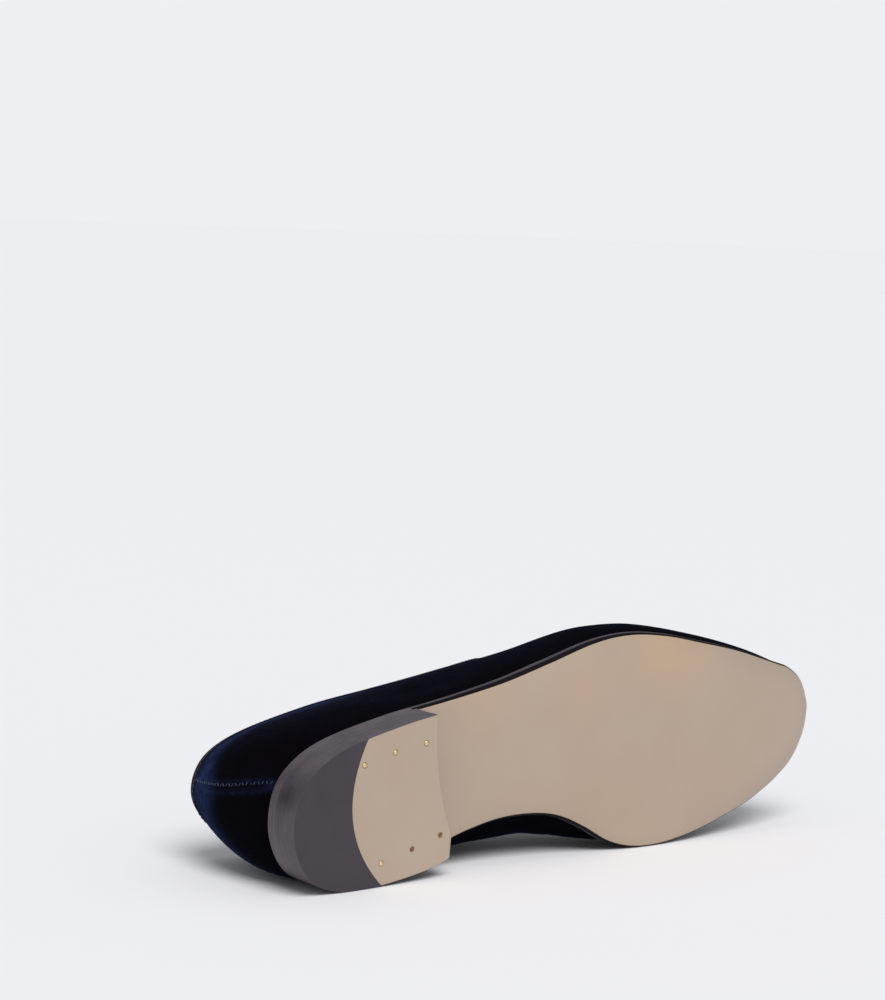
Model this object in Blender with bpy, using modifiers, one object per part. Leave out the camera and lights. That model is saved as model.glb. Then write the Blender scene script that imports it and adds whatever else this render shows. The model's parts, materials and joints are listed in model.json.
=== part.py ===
"""A velvet slipper for a right foot, lying empty on its inner side.

The pieces are modelled in the shoe's own frame: x runs from the back of the heel to the toe, y towards the
inner side of the foot, and z up from the tread. An empty then lays the whole shoe down on the floor.
All lengths are in metres.
"""

import math

import bmesh
import bpy
import numpy as np
from mathutils import Matrix, Vector

# Sole and heel
SOLE_LENGTH = 0.295
BALL_WIDTH = 0.098
OUTSOLE_THICKNESS = 0.0045
HEEL_HEIGHT = 0.013
HEEL_LENGTH = 0.0745
TOE_SPRING = 0.006
TOE_CURVE = 1.8
FLAT_START = 0.196
FLAT_LENGTH = 0.018
BREAST_BOW = 0.004
BREAST_SLANT = 0.08
HEEL_HALF_SHARE = 0.31
NOTCH_WIDTH = 0.009
NOTCH_DEPTH = 0.0045
TOP_PIECE_THICKNESS = 0.004
LIFT_COUNT = 3
RUBBER_LENGTH = 0.029
RUBBER_BOW = 0.011
NAIL_RADIUS = 0.0009
NAIL_LENGTH = 0.0026
NAIL_CLEARANCE = 0.00015
NAIL_SIDES = 12

# The shoe may lie on a face of its hull that looks at least this much to its inner side
INWARD_LOOK = 0.6

# Upper
WALL = 0.002
SEAT_MARGIN = 0.0012
WELT_MARGIN = 0.0024
BACK_HEIGHT = 0.0595
INSTEP_HEIGHT = 0.079
TONGUE_RISE = 0.015
TONGUE_FLARE = 0.0025
TONGUE_ROUNDNESS = 0.9
BINDING_WIDTH = 0.0036
BINDING_LIP = 0.0003
BINDING_CLEARANCE = 0.0006
BINDING_SHOULDER = 0.3
BINDING_CREST = 0.35
INSOLE_THICKNESS = 0.002
INSOLE_CLEARANCE = 0.0009

# Curved neighbours stand this far apart
GAP = 0.0003

# Edge of the sole, seen from above: shares of the sole's length and of the ball's width, from heel to toe
OUTER_EDGE = [
    # along, across
    (0.000, 0.000),
    (0.014, -0.160),
    (0.048, -0.252),
    (0.104, -0.302),
    (0.204, -0.317),
    (0.303, -0.311),
    (0.395, -0.324),
    (0.475, -0.358),
    (0.557, -0.393),
    (0.622, -0.383),
    (0.692, -0.326),
    (0.764, -0.240),
    (0.841, -0.142),
    (0.924, -0.017),
    (0.957, 0.035),
    (0.982, 0.100),
    (0.996, 0.175),
    (1.000, 0.250),
]
INNER_EDGE = [
    # along, across
    (0.000, 0.000),
    (0.014, 0.160),
    (0.048, 0.252),
    (0.104, 0.304),
    (0.204, 0.324),
    (0.279, 0.302),
    (0.330, 0.284),
    (0.385, 0.279),
    (0.440, 0.304),
    (0.480, 0.348),
    (0.518, 0.424),
    (0.557, 0.517),
    (0.600, 0.577),
    (0.655, 0.610),
    (0.720, 0.617),
    (0.790, 0.602),
    (0.850, 0.581),
    (0.905, 0.541),
    (0.950, 0.487),
    (0.978, 0.415),
    (0.995, 0.335),
    (1.000, 0.250),
]

# Side of the outsole: height, and how far it lies in from the edge at forepart and waist, all as shares of
# its thickness
SOLE_SIDE = [
    # height, forepart, waist
    (0.00, 0.20, 0.36),
    (0.14, 0.04, 0.11),
    (0.40, 0.00, 0.02),
    (0.55, 0.07, 0.06),
    (0.68, 0.00, 0.00),
    (0.90, 0.06, 0.04),
    (1.00, 0.22, 0.20),
]

# Nails of the top piece, as shares of the way from its rubber part to the breast and of the heel's half width
NAILS = [
    # along, across
    (0.08, -0.67),
    (0.46, -0.70),
    (0.86, -0.68),
    (0.15, 0.72),
    (0.53, 0.68),
    (0.88, 0.63),
]

# Crown of the last: the line that every section rises to, by the share of the way round from heel to toe.
# Behind the throat it is the cone of the last, above the topline.
CROWN = [
    # way, along (of the sole), across (of the ball), height (of the instep)
    (0.00, 0.068, 0.000, 1.340),
    (0.10, 0.092, 0.000, 1.350),
    (0.20, 0.164, 0.000, 1.335),
    (0.30, 0.259, 0.000, 1.295),
    (0.40, 0.362, 0.015, 1.215),
    (0.47, 0.450, 0.031, 1.105),
    (0.52, 0.512, 0.041, 1.000),
    (0.60, 0.590, 0.071, 0.862),
    (0.70, 0.686, 0.112, 0.702),
    (0.80, 0.780, 0.148, 0.565),
    (0.88, 0.851, 0.173, 0.476),
    (0.94, 0.897, 0.189, 0.428),
    (1.00, 0.928, 0.199, 0.395),
]

# Bend of each section between sole and crown. Rise and drop are shares of the section's height, out is a
# share of the ball's width, and reach is a share of the way from the crown to the sole's edge.
OUTER_BEND = [
    # way, rise, out, reach, drop
    (0.00, 0.34, 0.098, 0.74, 0.29),
    (0.12, 0.32, 0.088, 0.64, 0.25),
    (0.30, 0.36, 0.050, 0.77, 0.20),
    (0.42, 0.40, 0.040, 0.71, 0.13),
    (0.52, 0.46, 0.020, 0.62, 0.05),
    (0.60, 0.38, 0.110, 0.64, 0.03),
    (0.70, 0.34, 0.150, 0.62, 0.02),
    (0.80, 0.36, 0.140, 0.63, 0.02),
    (0.90, 0.40, 0.120, 0.62, 0.06),
    (1.00, 0.44, 0.006, 0.50, 0.21),
]
INNER_BEND = [
    # way, rise, out, reach, drop
    (0.00, 0.34, 0.098, 0.74, 0.29),
    (0.12, 0.27, 0.104, 0.66, 0.27),
    (0.22, 0.30, 0.112, 0.79, 0.21),
    (0.32, 0.30, 0.370, 1.08, 0.18),
    (0.42, 0.34, 0.450, 1.13, 0.12),
    (0.50, 0.38, 0.320, 0.97, 0.06),
    (0.58, 0.40, 0.120, 0.74, 0.03),
    (0.70, 0.38, 0.034, 0.60, 0.02),
    (0.80, 0.40, 0.018, 0.58, 0.02),
    (0.90, 0.42, 0.014, 0.56, 0.06),
    (1.00, 0.44, 0.006, 0.50, 0.21),
]

# Finished topline above the heel seat, as a share of the back's height
TOPLINE = [
    # way, height
    (0.00, 1.000),
    (0.08, 0.995),
    (0.24, 0.880),
    (0.36, 0.752),
    (0.43, 0.676),
    (0.462, 0.672),
    (0.485, 0.710),
    (0.504, 0.785),
    (0.520, 0.890),
]
THROAT = 0.52
TONGUE_LEAN = Vector((-0.82, 0.0, 0.57))

# Mesh density
QUARTER_COLUMNS = 24
COLUMN_CROWDING = 0.45
VAMP_COLUMNS = 24
WALL_LEVELS = 8
CROWN_LEVELS = 7
CROWN_START = 0.55
TONGUE_ROWS = 4
EDGE_POINTS = 44
FINE_EDGE_POINTS = 176
HEEL_EDGE_STEP = 3
SOLE_RUNGS = 6

FINISHES = {
    # name: colour, roughness, metallic, weight of a cubic metre
    "velvet": ((0.010, 0.012, 0.036, 1.0), 0.90, 0.0, 450.0),
    "ribbon": ((0.020, 0.014, 0.024, 1.0), 0.60, 0.0, 600.0),
    "sole_leather": ((0.560, 0.480, 0.370, 1.0), 0.22, 0.0, 1000.0),
    "heel_leather": ((0.060, 0.045, 0.045, 1.0), 0.30, 0.0, 1000.0),
    "rubber": ((0.080, 0.068, 0.080, 1.0), 0.50, 0.0, 1200.0),
    "brass": ((0.830, 0.620, 0.260, 1.0), 0.25, 1.0, 8500.0),
    "lining_leather": ((0.020, 0.018, 0.020, 1.0), 0.55, 0.0, 900.0),
}


def smooth_step(share):
    """0 to 1 with level ends."""
    share = min(max(share, 0.0), 1.0)
    return share * share * (3.0 - 2.0 * share)


def through(rows, before, after, count):
    """Points spread evenly along a smooth curve through the rows, that comes from before and goes on to after."""
    knots = [before] + list(rows) + [after]
    dense = []
    for before, start, end, after in zip(knots, knots[1:], knots[2:], knots[3:]):
        for step in range(16):
            t = step / 16.0
            dense.append(
                0.5
                * (
                    2.0 * start
                    + (end - before) * t
                    + (2.0 * before - 5.0 * start + 4.0 * end - after) * t * t
                    + (3.0 * start - before - 3.0 * end + after) * t**3
                )
            )
    dense.append(knots[-2])
    dense = np.array(dense)
    run = np.concatenate([[0.0], np.cumsum(np.linalg.norm(np.diff(dense, axis=0), axis=1))])
    wanted = np.linspace(0.0, run[-1], count)
    return np.stack([np.interp(wanted, run, dense[:, axis]) for axis in range(dense.shape[1])], axis=1)


def look_up(rows, way, column):
    """Value of a table's column at a share of the way round, by a smooth monotone curve between its rows."""
    ways = [row[0] for row in rows]
    values = [row[column] for row in rows]
    place = 0
    while place < len(ways) - 2 and way > ways[place + 1]:
        place += 1
    slopes = []
    for at in (place, place + 1):
        left = max(at - 1, 0)
        right = min(at + 1, len(ways) - 1)
        slopes.append((values[right] - values[left]) / (ways[right] - ways[left]))
    width = ways[place + 1] - ways[place]
    t = (way - ways[place]) / width
    return (
        values[place] * (1.0 + 2.0 * t) * (1.0 - t) ** 2
        + values[place + 1] * t * t * (3.0 - 2.0 * t)
        + slopes[0] * width * t * (1.0 - t) ** 2
        - slopes[1] * width * t * t * (1.0 - t)
    )


def sole_bottom(along):
    """Height of the outsole's underside: level under the heel and at the ball, with waist and toe spring."""
    if along < FLAT_START:
        return HEEL_HEIGHT * smooth_step((FLAT_START - along) / (FLAT_START - HEEL_LENGTH))
    past_flat = max(along - FLAT_START - FLAT_LENGTH, 0.0)
    return TOE_SPRING * (past_flat / (SOLE_LENGTH - FLAT_START - FLAT_LENGTH)) ** TOE_CURVE


def sole_top(along):
    return sole_bottom(along) + OUTSOLE_THICKNESS


def half_edge(is_inner, count):
    """One half of the sole's edge, from the back of the heel to the toe. It runs on smoothly into the other."""
    size = np.array([SOLE_LENGTH, BALL_WIDTH])
    rows, other = (INNER_EDGE, OUTER_EDGE) if is_inner else (OUTER_EDGE, INNER_EDGE)
    return through(np.array(rows) * size, np.array(other[1]) * size, np.array(other[-2]) * size, count)


def inward(half, inner):
    """Level directions that point into the shoe, one for each point of a half edge."""
    run = np.gradient(half, axis=0)
    run /= np.linalg.norm(run, axis=1)[:, None]
    sign = 1.0 if inner else -1.0
    into = sign * np.stack([run[:, 1], -run[:, 0]], axis=1)
    into[0] = (1.0, 0.0)
    tip = into[-1]
    into[-1] = tip / np.linalg.norm(tip)
    return into


def inset_edge(is_inner, count, margin):
    """A half edge moved in by a margin, given as a function of the place along the shoe."""
    half = half_edge(is_inner, count)
    amount = np.array([margin(along) for along in half[:, 0]])[:, None]
    return half + inward(half, is_inner) * amount


def upper_margin(along):
    """How far the upper meets the sole in from its edge."""
    return SEAT_MARGIN + (WELT_MARGIN - SEAT_MARGIN) * smooth_step(along / FLAT_START)


def closed_edge(margin):
    """The whole edge, along the outer side to the toe and back along the inner side."""
    outer = inset_edge(False, EDGE_POINTS, margin)
    inner = inset_edge(True, EDGE_POINTS, margin)
    return np.concatenate([outer, inner[-2:0:-1]])


def new_piece(name, finish, vertices, faces):
    """A named object from vertices and faces, with its own material."""
    mesh = bpy.data.meshes.new(name)
    mesh.from_pydata([tuple(float(value) for value in vertex) for vertex in vertices], [], faces)
    mesh.validate()
    piece = bpy.data.objects.new(name, mesh)
    shoe_parts.objects.link(piece)
    dress(piece, finish)
    return piece


def dress(piece, finish):
    """Gives a piece its own material in the named finish."""
    colour, roughness, metallic, _ = FINISHES[finish]
    material = bpy.data.materials.new(piece.name + "_" + finish)
    material.use_nodes = True
    shader = material.node_tree.nodes["Principled BSDF"]
    shader.inputs["Base Color"].default_value = colour
    shader.inputs["Roughness"].default_value = roughness
    shader.inputs["Metallic"].default_value = metallic
    material.diffuse_color = colour
    piece.data.materials.append(material)
    piece["finish"] = finish


def face_outwards(piece):
    """Turns every face of a closed piece outwards."""
    cage = bmesh.new()
    cage.from_mesh(piece.data)
    bmesh.ops.recalc_face_normals(cage, faces=cage.faces[:])
    if cage.calc_volume(signed=True) < 0.0:
        bmesh.ops.reverse_faces(cage, faces=cage.faces[:])
    cage.to_mesh(piece.data)
    cage.free()


def plank(name, finish, rings):
    """A closed piece from stacked edge rings, capped by rungs from its outer half to its inner half."""
    size = len(rings[0])
    half = size // 2
    vertices = [point for ring in rings for point in ring]
    faces = []
    for level in range(len(rings) - 1):
        low = level * size
        for at in range(size):
            after = (at + 1) % size
            faces.append((low + at, low + after, low + size + after, low + size + at))
    for ring_start in (0, (len(rings) - 1) * size):
        rungs = []
        for at in range(1, half):
            outer = ring_start + at
            inner = ring_start + size - at
            row = [outer]
            for step in range(1, SOLE_RUNGS):
                share = step / SOLE_RUNGS
                start = np.array(vertices[outer])
                end = np.array(vertices[inner])
                point = start + (end - start) * share
                point[2] = surface_height(point[0], start, end, share)
                row.append(len(vertices))
                vertices.append(point)
            row.append(inner)
            rungs.append(row)
        for near, far in zip(rungs, rungs[1:]):
            for step in range(SOLE_RUNGS):
                faces.append((near[step], near[step + 1], far[step + 1], far[step]))
        faces.append([ring_start] + rungs[0])
        faces.append([ring_start + half] + rungs[-1][::-1])
    piece = new_piece(name, finish, vertices, faces)
    face_outwards(piece)
    return piece


def surface_height(along, start, end, share):
    """Height of a rung's point: it follows the sole's curve, by the step that its two ends stand off it."""
    step_start = start[2] - sole_bottom(start[0])
    step_end = end[2] - sole_bottom(end[0])
    return sole_bottom(along) + step_start + (step_end - step_start) * share


def side_ring(height, forepart, waist):
    """One ring of the outsole's side, at a share of its thickness."""
    middle = 0.5 * (HEEL_LENGTH + FLAT_START)
    half_waist = 0.5 * (FLAT_START - HEEL_LENGTH)

    def margin(along):
        in_waist = 1.0 - smooth_step(abs(along - middle) / half_waist)
        return OUTSOLE_THICKNESS * (forepart + (waist - forepart) * in_waist)

    ring = closed_edge(margin)
    return [(x, y, sole_bottom(x) + height * OUTSOLE_THICKNESS) for x, y in ring]


def make_outsole():
    return plank("outsole", "sole_leather", [side_ring(*row) for row in SOLE_SIDE])


def make_insole():
    """The insole lies on the outsole, just inside the wall of the upper."""

    def margin(along):
        return upper_margin(along) + WALL + INSOLE_CLEARANCE

    ring = closed_edge(margin)
    low = [(x, y, sole_top(x) + GAP) for x, y in ring]
    high = [(x, y, sole_top(x) + GAP + INSOLE_THICKNESS) for x, y in ring]
    return plank("insole", "lining_leather", [low, high])


def heel_half_width():
    return HEEL_HALF_SHARE * BALL_WIDTH


def breast_along(across):
    """Front of the heel: bowed towards the back in its middle, and a little further forward inside."""
    bow = BREAST_BOW * (across / heel_half_width()) ** 2
    return HEEL_LENGTH + BREAST_SLANT * across + bow


def heel_plan(back_of=None, front_of=None):
    """Closed outline of the heel, cut behind or before a curve that gives a place along for one across."""
    front = front_of or breast_along
    outer = [tuple(point) for point in half_edge(False, FINE_EDGE_POINTS)]
    inner = [tuple(point) for point in half_edge(True, FINE_EDGE_POINTS)]
    kept_outer = [point for point in outer if point[0] < front(point[1])][::HEEL_EDGE_STEP]
    kept_inner = [point for point in inner if point[0] < front(point[1])][::HEEL_EDGE_STEP]
    if back_of:
        kept_outer = [point for point in kept_outer if point[0] > back_of(point[1])]
        kept_inner = [point for point in kept_inner if point[0] > back_of(point[1])]
    corner_outer = kept_outer[-1][1]
    corner_inner = kept_inner[-1][1]
    cut = curve_between(front, corner_outer, corner_inner)
    if front_of is None:
        cut = notched(cut)
    if back_of:
        rear = curve_between(back_of, kept_inner[0][1], kept_outer[0][1])
        return kept_outer + cut + kept_inner[::-1] + rear
    return kept_outer + cut + kept_inner[:0:-1]


def curve_between(curve, start, end, count=9):
    """Points of a cross curve from one side of the heel to the other."""
    return [(curve(across), across) for across in np.linspace(start, end, count)]


def notched(cut):
    """The breast with its inner corner cut off at a slant."""
    corner = cut[-1][1]
    start = corner - NOTCH_WIDTH
    kept = [point for point in cut if point[1] < start - GAP]
    return kept + [(breast_along(start), start), (breast_along(corner) - NOTCH_DEPTH, corner)]


def slab(name, finish, plan, low, high):
    """A flat layer with the given outline."""
    count = len(plan)
    vertices = [(x, y, low) for x, y in plan] + [(x, y, high) for x, y in plan]
    faces = [tuple(range(count))[::-1], tuple(range(count, 2 * count))]
    for at in range(count):
        after = (at + 1) % count
        faces.append((at, after, count + after, count + at))
    piece = new_piece(name, finish, vertices, faces)
    face_outwards(piece)
    return piece


def make_heel_stack():
    """Leather lifts between the top piece and the outsole, a thin line apart."""
    pitch = (HEEL_HEIGHT - TOP_PIECE_THICKNESS) / LIFT_COUNT
    lifts = []
    for number in range(LIFT_COUNT):
        low = TOP_PIECE_THICKNESS + number * pitch + GAP
        high = TOP_PIECE_THICKNESS + (number + 1) * pitch
        if number == LIFT_COUNT - 1:
            high -= GAP
        lifts.append(slab(f"heel_lift_{number + 1}", "heel_leather", heel_plan(), low, high))
    return lifts


def rubber_front(across):
    """Line where the rubber part of the top piece meets the leather part."""
    return RUBBER_LENGTH + RUBBER_BOW * (across / heel_half_width()) ** 2


def make_top_piece():
    """The two parts of the heel's top piece, the leather one with holes for its nails."""

    def leather_back(across):
        return rubber_front(across) + GAP

    rubber = slab("top_piece_rubber", "rubber", heel_plan(front_of=rubber_front), 0.0, TOP_PIECE_THICKNESS)
    leather = slab("top_piece_leather", "sole_leather", heel_plan(back_of=leather_back), 0.0, TOP_PIECE_THICKNESS)
    return rubber, leather


def nail_places():
    """Places along and across of the nails, between the rubber part and the breast."""
    for share_along, share_across in NAILS:
        across = share_across * heel_half_width()
        back = rubber_front(across)
        yield back + share_along * (breast_along(across) - back), across


def make_nails(leather):
    """Brass nails, each in a blind hole of the leather top piece, flush with its face."""
    nails = []
    for number, (along, across) in enumerate(nail_places()):
        for is_hole in (True, False):
            radius = NAIL_RADIUS + NAIL_CLEARANCE if is_hole else NAIL_RADIUS
            depth = NAIL_LENGTH + NAIL_CLEARANCE
            bottom = -NAIL_LENGTH if is_hole else 0.0
            top = depth if is_hole else NAIL_LENGTH
            bpy.ops.mesh.primitive_cylinder_add(
                vertices=NAIL_SIDES,
                radius=radius,
                depth=top - bottom,
                location=(along, across, 0.5 * (top + bottom)),
            )
            made = bpy.context.object
            if is_hole:
                made.name = f"nail_hole_{number + 1}"
                keep_as_cutter(made)
                cut = leather.modifiers.new(made.name, "BOOLEAN")
                cut.operation = "DIFFERENCE"
                cut.object = made
            else:
                made.name = f"heel_nail_{number + 1}"
                move_to(made, shoe_parts)
                dress(made, "brass")
                nails.append(made)
    return nails


def move_to(piece, collection):
    for old in list(piece.users_collection):
        old.objects.unlink(piece)
    collection.objects.link(piece)


def keep_as_cutter(piece):
    move_to(piece, cutters)
    piece.hide_render = True
    piece.display_type = "WIRE"


def foot_of(half, into, place):
    """Where a section starts on the sole, from the evenly spread half edge."""
    at = place * (len(half) - 1)
    low = min(int(at), len(half) - 2)
    share = at - low
    point = half[low] * (1.0 - share) + half[low + 1] * share
    way_in = into[low] * (1.0 - share) + into[low + 1] * share
    return point, way_in / np.linalg.norm(way_in)


def section(side, way, level):
    """Point of the upper's outer face: a Bezier curve from the sole's edge up to the crown of the last."""
    foot, way_in = foot_of(side["edge"], side["inward"], way)
    foot = foot + way_in * upper_margin(foot[0])
    start = Vector((foot[0], foot[1], sole_top(foot[0]) + GAP))
    crown = Vector(
        (
            look_up(CROWN, way, 1) * SOLE_LENGTH,
            look_up(CROWN, way, 2) * BALL_WIDTH,
            look_up(CROWN, way, 3) * INSTEP_HEIGHT,
        )
    )
    rise, out, reach, drop = (look_up(side["bend"], way, column) for column in (1, 2, 3, 4))
    height = crown.z - start.z
    outward = Vector((-way_in[0], -way_in[1], 0.0))
    first = start + outward * out * BALL_WIDTH + Vector((0.0, 0.0, rise * height))
    level_way = Vector((start.x - crown.x, start.y - crown.y, 0.0))
    second = crown + level_way * reach - Vector((0.0, 0.0, drop * height))
    rest = 1.0 - level
    return (
        start * rest**3
        + first * (3.0 * rest * rest * level)
        + second * (3.0 * rest * level * level)
        + crown * level**3
    )


def level_at_height(side, way, height):
    """Share of a section at which it reaches a height."""
    low, high = 0.0, 1.0
    for _ in range(30):
        middle = 0.5 * (low + high)
        if section(side, way, middle).z < height:
            low = middle
        else:
            high = middle
    return 0.5 * (low + high)


def wall_top(way):
    """Height at which the wall ends, below the binding."""
    finished = HEEL_HEIGHT + OUTSOLE_THICKNESS + look_up(TOPLINE, way, 1) * BACK_HEIGHT
    return finished - BINDING_WIDTH - BINDING_CLEARANCE


def columns():
    """Shares of the way round at which the upper has its sections, closer together at heel and throat."""
    ways = []
    for at in range(QUARTER_COLUMNS + 1):
        share = at / QUARTER_COLUMNS
        ways.append(THROAT * (share - COLUMN_CROWDING * math.sin(2.0 * math.pi * share) / (2.0 * math.pi)))
    ways += [THROAT + (1.0 - THROAT) * at / VAMP_COLUMNS for at in range(1, VAMP_COLUMNS + 1)]
    return ways


def crown_share(step):
    """Spacing of the levels above the throat corner, closer together at the corner."""
    share = step / CROWN_LEVELS
    return share * (CROWN_START + (1.0 - CROWN_START) * share)


def upper_grid():
    """Vertices and faces of the upper's outer face, and the loop of its free edge."""
    sides = {}
    for name, bend in (("outer", OUTER_BEND), ("inner", INNER_BEND)):
        half = half_edge(name == "inner", FINE_EDGE_POINTS)
        sides[name] = {"edge": half, "inward": inward(half, name == "inner"), "bend": bend}
    ways = columns()
    last = len(ways) - 1
    top_level = WALL_LEVELS + CROWN_LEVELS
    vertices = []
    index = {}

    def place(key, point):
        if key not in index:
            index[key] = len(vertices)
            vertices.append(point)

    def key_of(name, column, level):
        shared = column in (0, last) or level == top_level
        return ("both" if shared else name, column, level)

    for name, side in sides.items():
        corner = level_at_height(side, THROAT, wall_top(THROAT))
        for column, way in enumerate(ways):
            in_quarter = column <= QUARTER_COLUMNS
            cut = level_at_height(side, way, wall_top(way)) if in_quarter else corner
            for step in range(WALL_LEVELS + 1):
                place(key_of(name, column, step), section(side, way, cut * step / WALL_LEVELS))
            if column < QUARTER_COLUMNS:
                continue
            for step in range(1, CROWN_LEVELS + 1):
                share = cut + (1.0 - cut) * crown_share(step)
                place(key_of(name, column, WALL_LEVELS + step), section(side, way, share))
    faces = []
    for name in sides:
        for column in range(last):
            levels = WALL_LEVELS if column < QUARTER_COLUMNS else top_level
            for level in range(levels):
                corners = [(column, level), (column + 1, level), (column + 1, level + 1), (column, level + 1)]
                face = [index[key_of(name, *corner)] for corner in corners]
                faces.append(face if name == "outer" else face[::-1])
    edge = [index[key_of("outer", column, WALL_LEVELS)] for column in range(QUARTER_COLUMNS)]
    throat = [index[key_of("outer", QUARTER_COLUMNS, WALL_LEVELS + step)] for step in range(CROWN_LEVELS + 1)]
    throat += [
        index[key_of("inner", QUARTER_COLUMNS, WALL_LEVELS + step)] for step in range(CROWN_LEVELS - 1, -1, -1)
    ]
    tongue_edge = add_tongue(vertices, faces, throat)
    back = [index[key_of("inner", column, WALL_LEVELS)] for column in range(QUARTER_COLUMNS - 1, 0, -1)]
    return vertices, faces, edge + tongue_edge + back


def add_tongue(vertices, faces, throat):
    """Carries the vamp on past the throat as a rounded, flared tongue, and returns its free edge."""
    rise = TONGUE_RISE - BINDING_WIDTH - BINDING_CLEARANCE
    lean = TONGUE_LEAN.normalized()
    ends = len(throat) - 1
    rows = [throat]
    for row in range(1, TONGUE_ROWS + 1):
        up = row / TONGUE_ROWS
        line = [throat[0]]
        for step in range(1, ends):
            inwards = crown_share(min(step, ends - step))
            tall = (1.0 - (1.0 - inwards) ** 2) ** TONGUE_ROUNDNESS
            arch = vertices[throat[step + 1]] - vertices[throat[step - 1]]
            outward = arch.cross(lean).normalized()
            line.append(len(vertices))
            flare = outward * TONGUE_FLARE * (tall * up) ** 2
            vertices.append(vertices[throat[step]] + lean * rise * tall * up + flare)
        line.append(throat[-1])
        rows.append(line)
    for lower, higher in zip(rows, rows[1:]):
        for step in range(ends):
            face = [lower[step], lower[step + 1], higher[step + 1], higher[step]]
            face = [at for place, at in enumerate(face) if at not in face[:place]]
            faces.append(face)
    return rows[-1]


def make_upper(vertices, faces):
    """The hollow upper: its outer face, given the thickness of velvet and lining."""
    upper = new_piece("upper", "velvet", vertices, faces)
    wall = upper.modifiers.new("wall", "SOLIDIFY")
    wall.thickness = WALL
    wall.offset = -1.0
    wall.use_even_offset = True
    wall.thickness_clamp = 0.0
    return upper


def make_binding(upper, edge):
    """The ribbon along topline and tongue, as a rim that stands on the wall's free edge."""
    graph = bpy.context.evaluated_depsgraph_get()
    shown = upper.evaluated_get(graph).data
    inner_start = len(upper.data.vertices)
    middle = [0.5 * (shown.vertices[at].co + shown.vertices[at + inner_start].co) for at in edge]
    through_wall = [(shown.vertices[at + inner_start].co - shown.vertices[at].co).normalized() for at in edge]
    count = len(edge)
    profile = binding_profile()
    rim = []
    for at in range(count):
        further = (at + 1) % count
        after = (middle[further] - middle[at]).normalized()
        along = ((middle[at] - middle[at - 1]).normalized() + after).normalized()
        across = through_wall[at - 1] + 3.0 * through_wall[at] + through_wall[further]
        across = (across - along * across.dot(along)).normalized()
        upward = along.cross(across) / along.dot(after)
        rim += [middle[at] + across * aside + upward * height for aside, height in profile]
    size = len(profile)
    faces = []
    for at in range(count):
        after = (at + 1) % count
        for step in range(size):
            further = (step + 1) % size
            faces.append((at * size + step, after * size + step, after * size + further, at * size + further))
    binding = new_piece("topline_binding", "ribbon", rim, faces)
    face_outwards(binding)
    return binding


def binding_profile():
    """Cross section of the binding: place aside from the wall's middle, and height over its edge."""
    low = BINDING_CLEARANCE
    high = low + BINDING_WIDTH
    shoulder = high - BINDING_SHOULDER * BINDING_WIDTH
    half = 0.5 * WALL + BINDING_LIP
    crest = BINDING_CREST * WALL
    return [(-half, low), (-half, shoulder), (-crest, high), (crest, high), (half, shoulder), (half, low)]


def shape_of(piece):
    """World points and triangles of a piece, with its modifiers."""
    graph = bpy.context.evaluated_depsgraph_get()
    shown = piece.evaluated_get(graph)
    mesh = shown.to_mesh()
    mesh.calc_loop_triangles()
    points = np.array([piece.matrix_world @ vertex.co for vertex in mesh.vertices])
    triangles = np.array([tuple(triangle.vertices) for triangle in mesh.loop_triangles])
    shown.to_mesh_clear()
    return points, triangles


def weight_centre(pieces):
    """Centre of weight of all pieces together."""
    total = 0.0
    moment = np.zeros(3)
    for piece in pieces:
        points, triangles = shape_of(piece)
        corners = points[triangles]
        volumes = np.einsum("ij,ij->i", corners[:, 0], np.cross(corners[:, 1], corners[:, 2])) / 6.0
        density = FINISHES[piece["finish"]][3]
        total += density * volumes.sum()
        moment += density * (volumes[:, None] * corners.sum(axis=1) / 4.0).sum(axis=0)
    return moment / total


def resting_face(pieces):
    """Outward direction of the face of the shoe's hull, on its inner side, that carries its weight."""
    cloud = np.concatenate([shape_of(piece)[0] for piece in pieces])
    centre = weight_centre(pieces)
    hull = bmesh.new()
    for point in cloud:
        hull.verts.new(point)
    bmesh.ops.convex_hull(hull, input=hull.verts[:])
    best = None
    for face in hull.faces:
        normal = np.array(face.normal)
        corners = [np.array(corner.co) for corner in face.verts]
        if np.dot(normal, corners[0] - centre) < 0.0:
            normal = -normal
            corners = corners[::-1]
        if normal[1] < INWARD_LOOK:
            continue
        inside = all(
            np.dot(np.cross(end - start, centre - start), normal) * turn_of(corners, normal) >= 0.0
            for start, end in zip(corners, corners[1:] + corners[:1])
        )
        if inside and (best is None or normal[1] > best[1]):
            best = normal
    hull.free()
    return Vector(best)


def turn_of(corners, normal):
    """1 where a triangle's corners run anticlockwise about a direction, and -1 where they don't."""
    area = np.cross(corners[1] - corners[0], corners[2] - corners[0])
    return 1.0 if np.dot(area, normal) > 0.0 else -1.0


def lay_down(pieces):
    """Turns the shoe on its inner side, its length along X, with the box's bottom centre at the origin."""
    bpy.context.view_layer.update()
    down = resting_face(pieces)
    toe = Vector((SOLE_LENGTH, OUTER_EDGE[-1][1] * BALL_WIDTH, TOE_SPRING))
    row_x = (toe - down * toe.dot(down)).normalized()
    row_z = -down
    row_y = row_z.cross(row_x)
    turn = Matrix((row_x, row_y, row_z)).to_4x4()
    holder = bpy.data.objects.new("shoe_lying", None)
    shoe_parts.objects.link(holder)
    for piece in pieces + list(cutters.objects):
        piece.parent = holder
    cloud = np.concatenate([shape_of(piece)[0] for piece in pieces]) @ np.array(turn.to_3x3()).T
    low = cloud.min(axis=0)
    high = cloud.max(axis=0)
    shift = Vector((-(low[0] + high[0]) / 2.0, -(low[1] + high[1]) / 2.0, -low[2]))
    holder.matrix_world = Matrix.Translation(shift) @ turn
    bpy.context.view_layer.update()


def clear_scene():
    for old in list(bpy.data.objects):
        bpy.data.objects.remove(old)


def new_collection(name):
    collection = bpy.data.collections.new(name)
    bpy.context.scene.collection.children.link(collection)
    return collection


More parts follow.
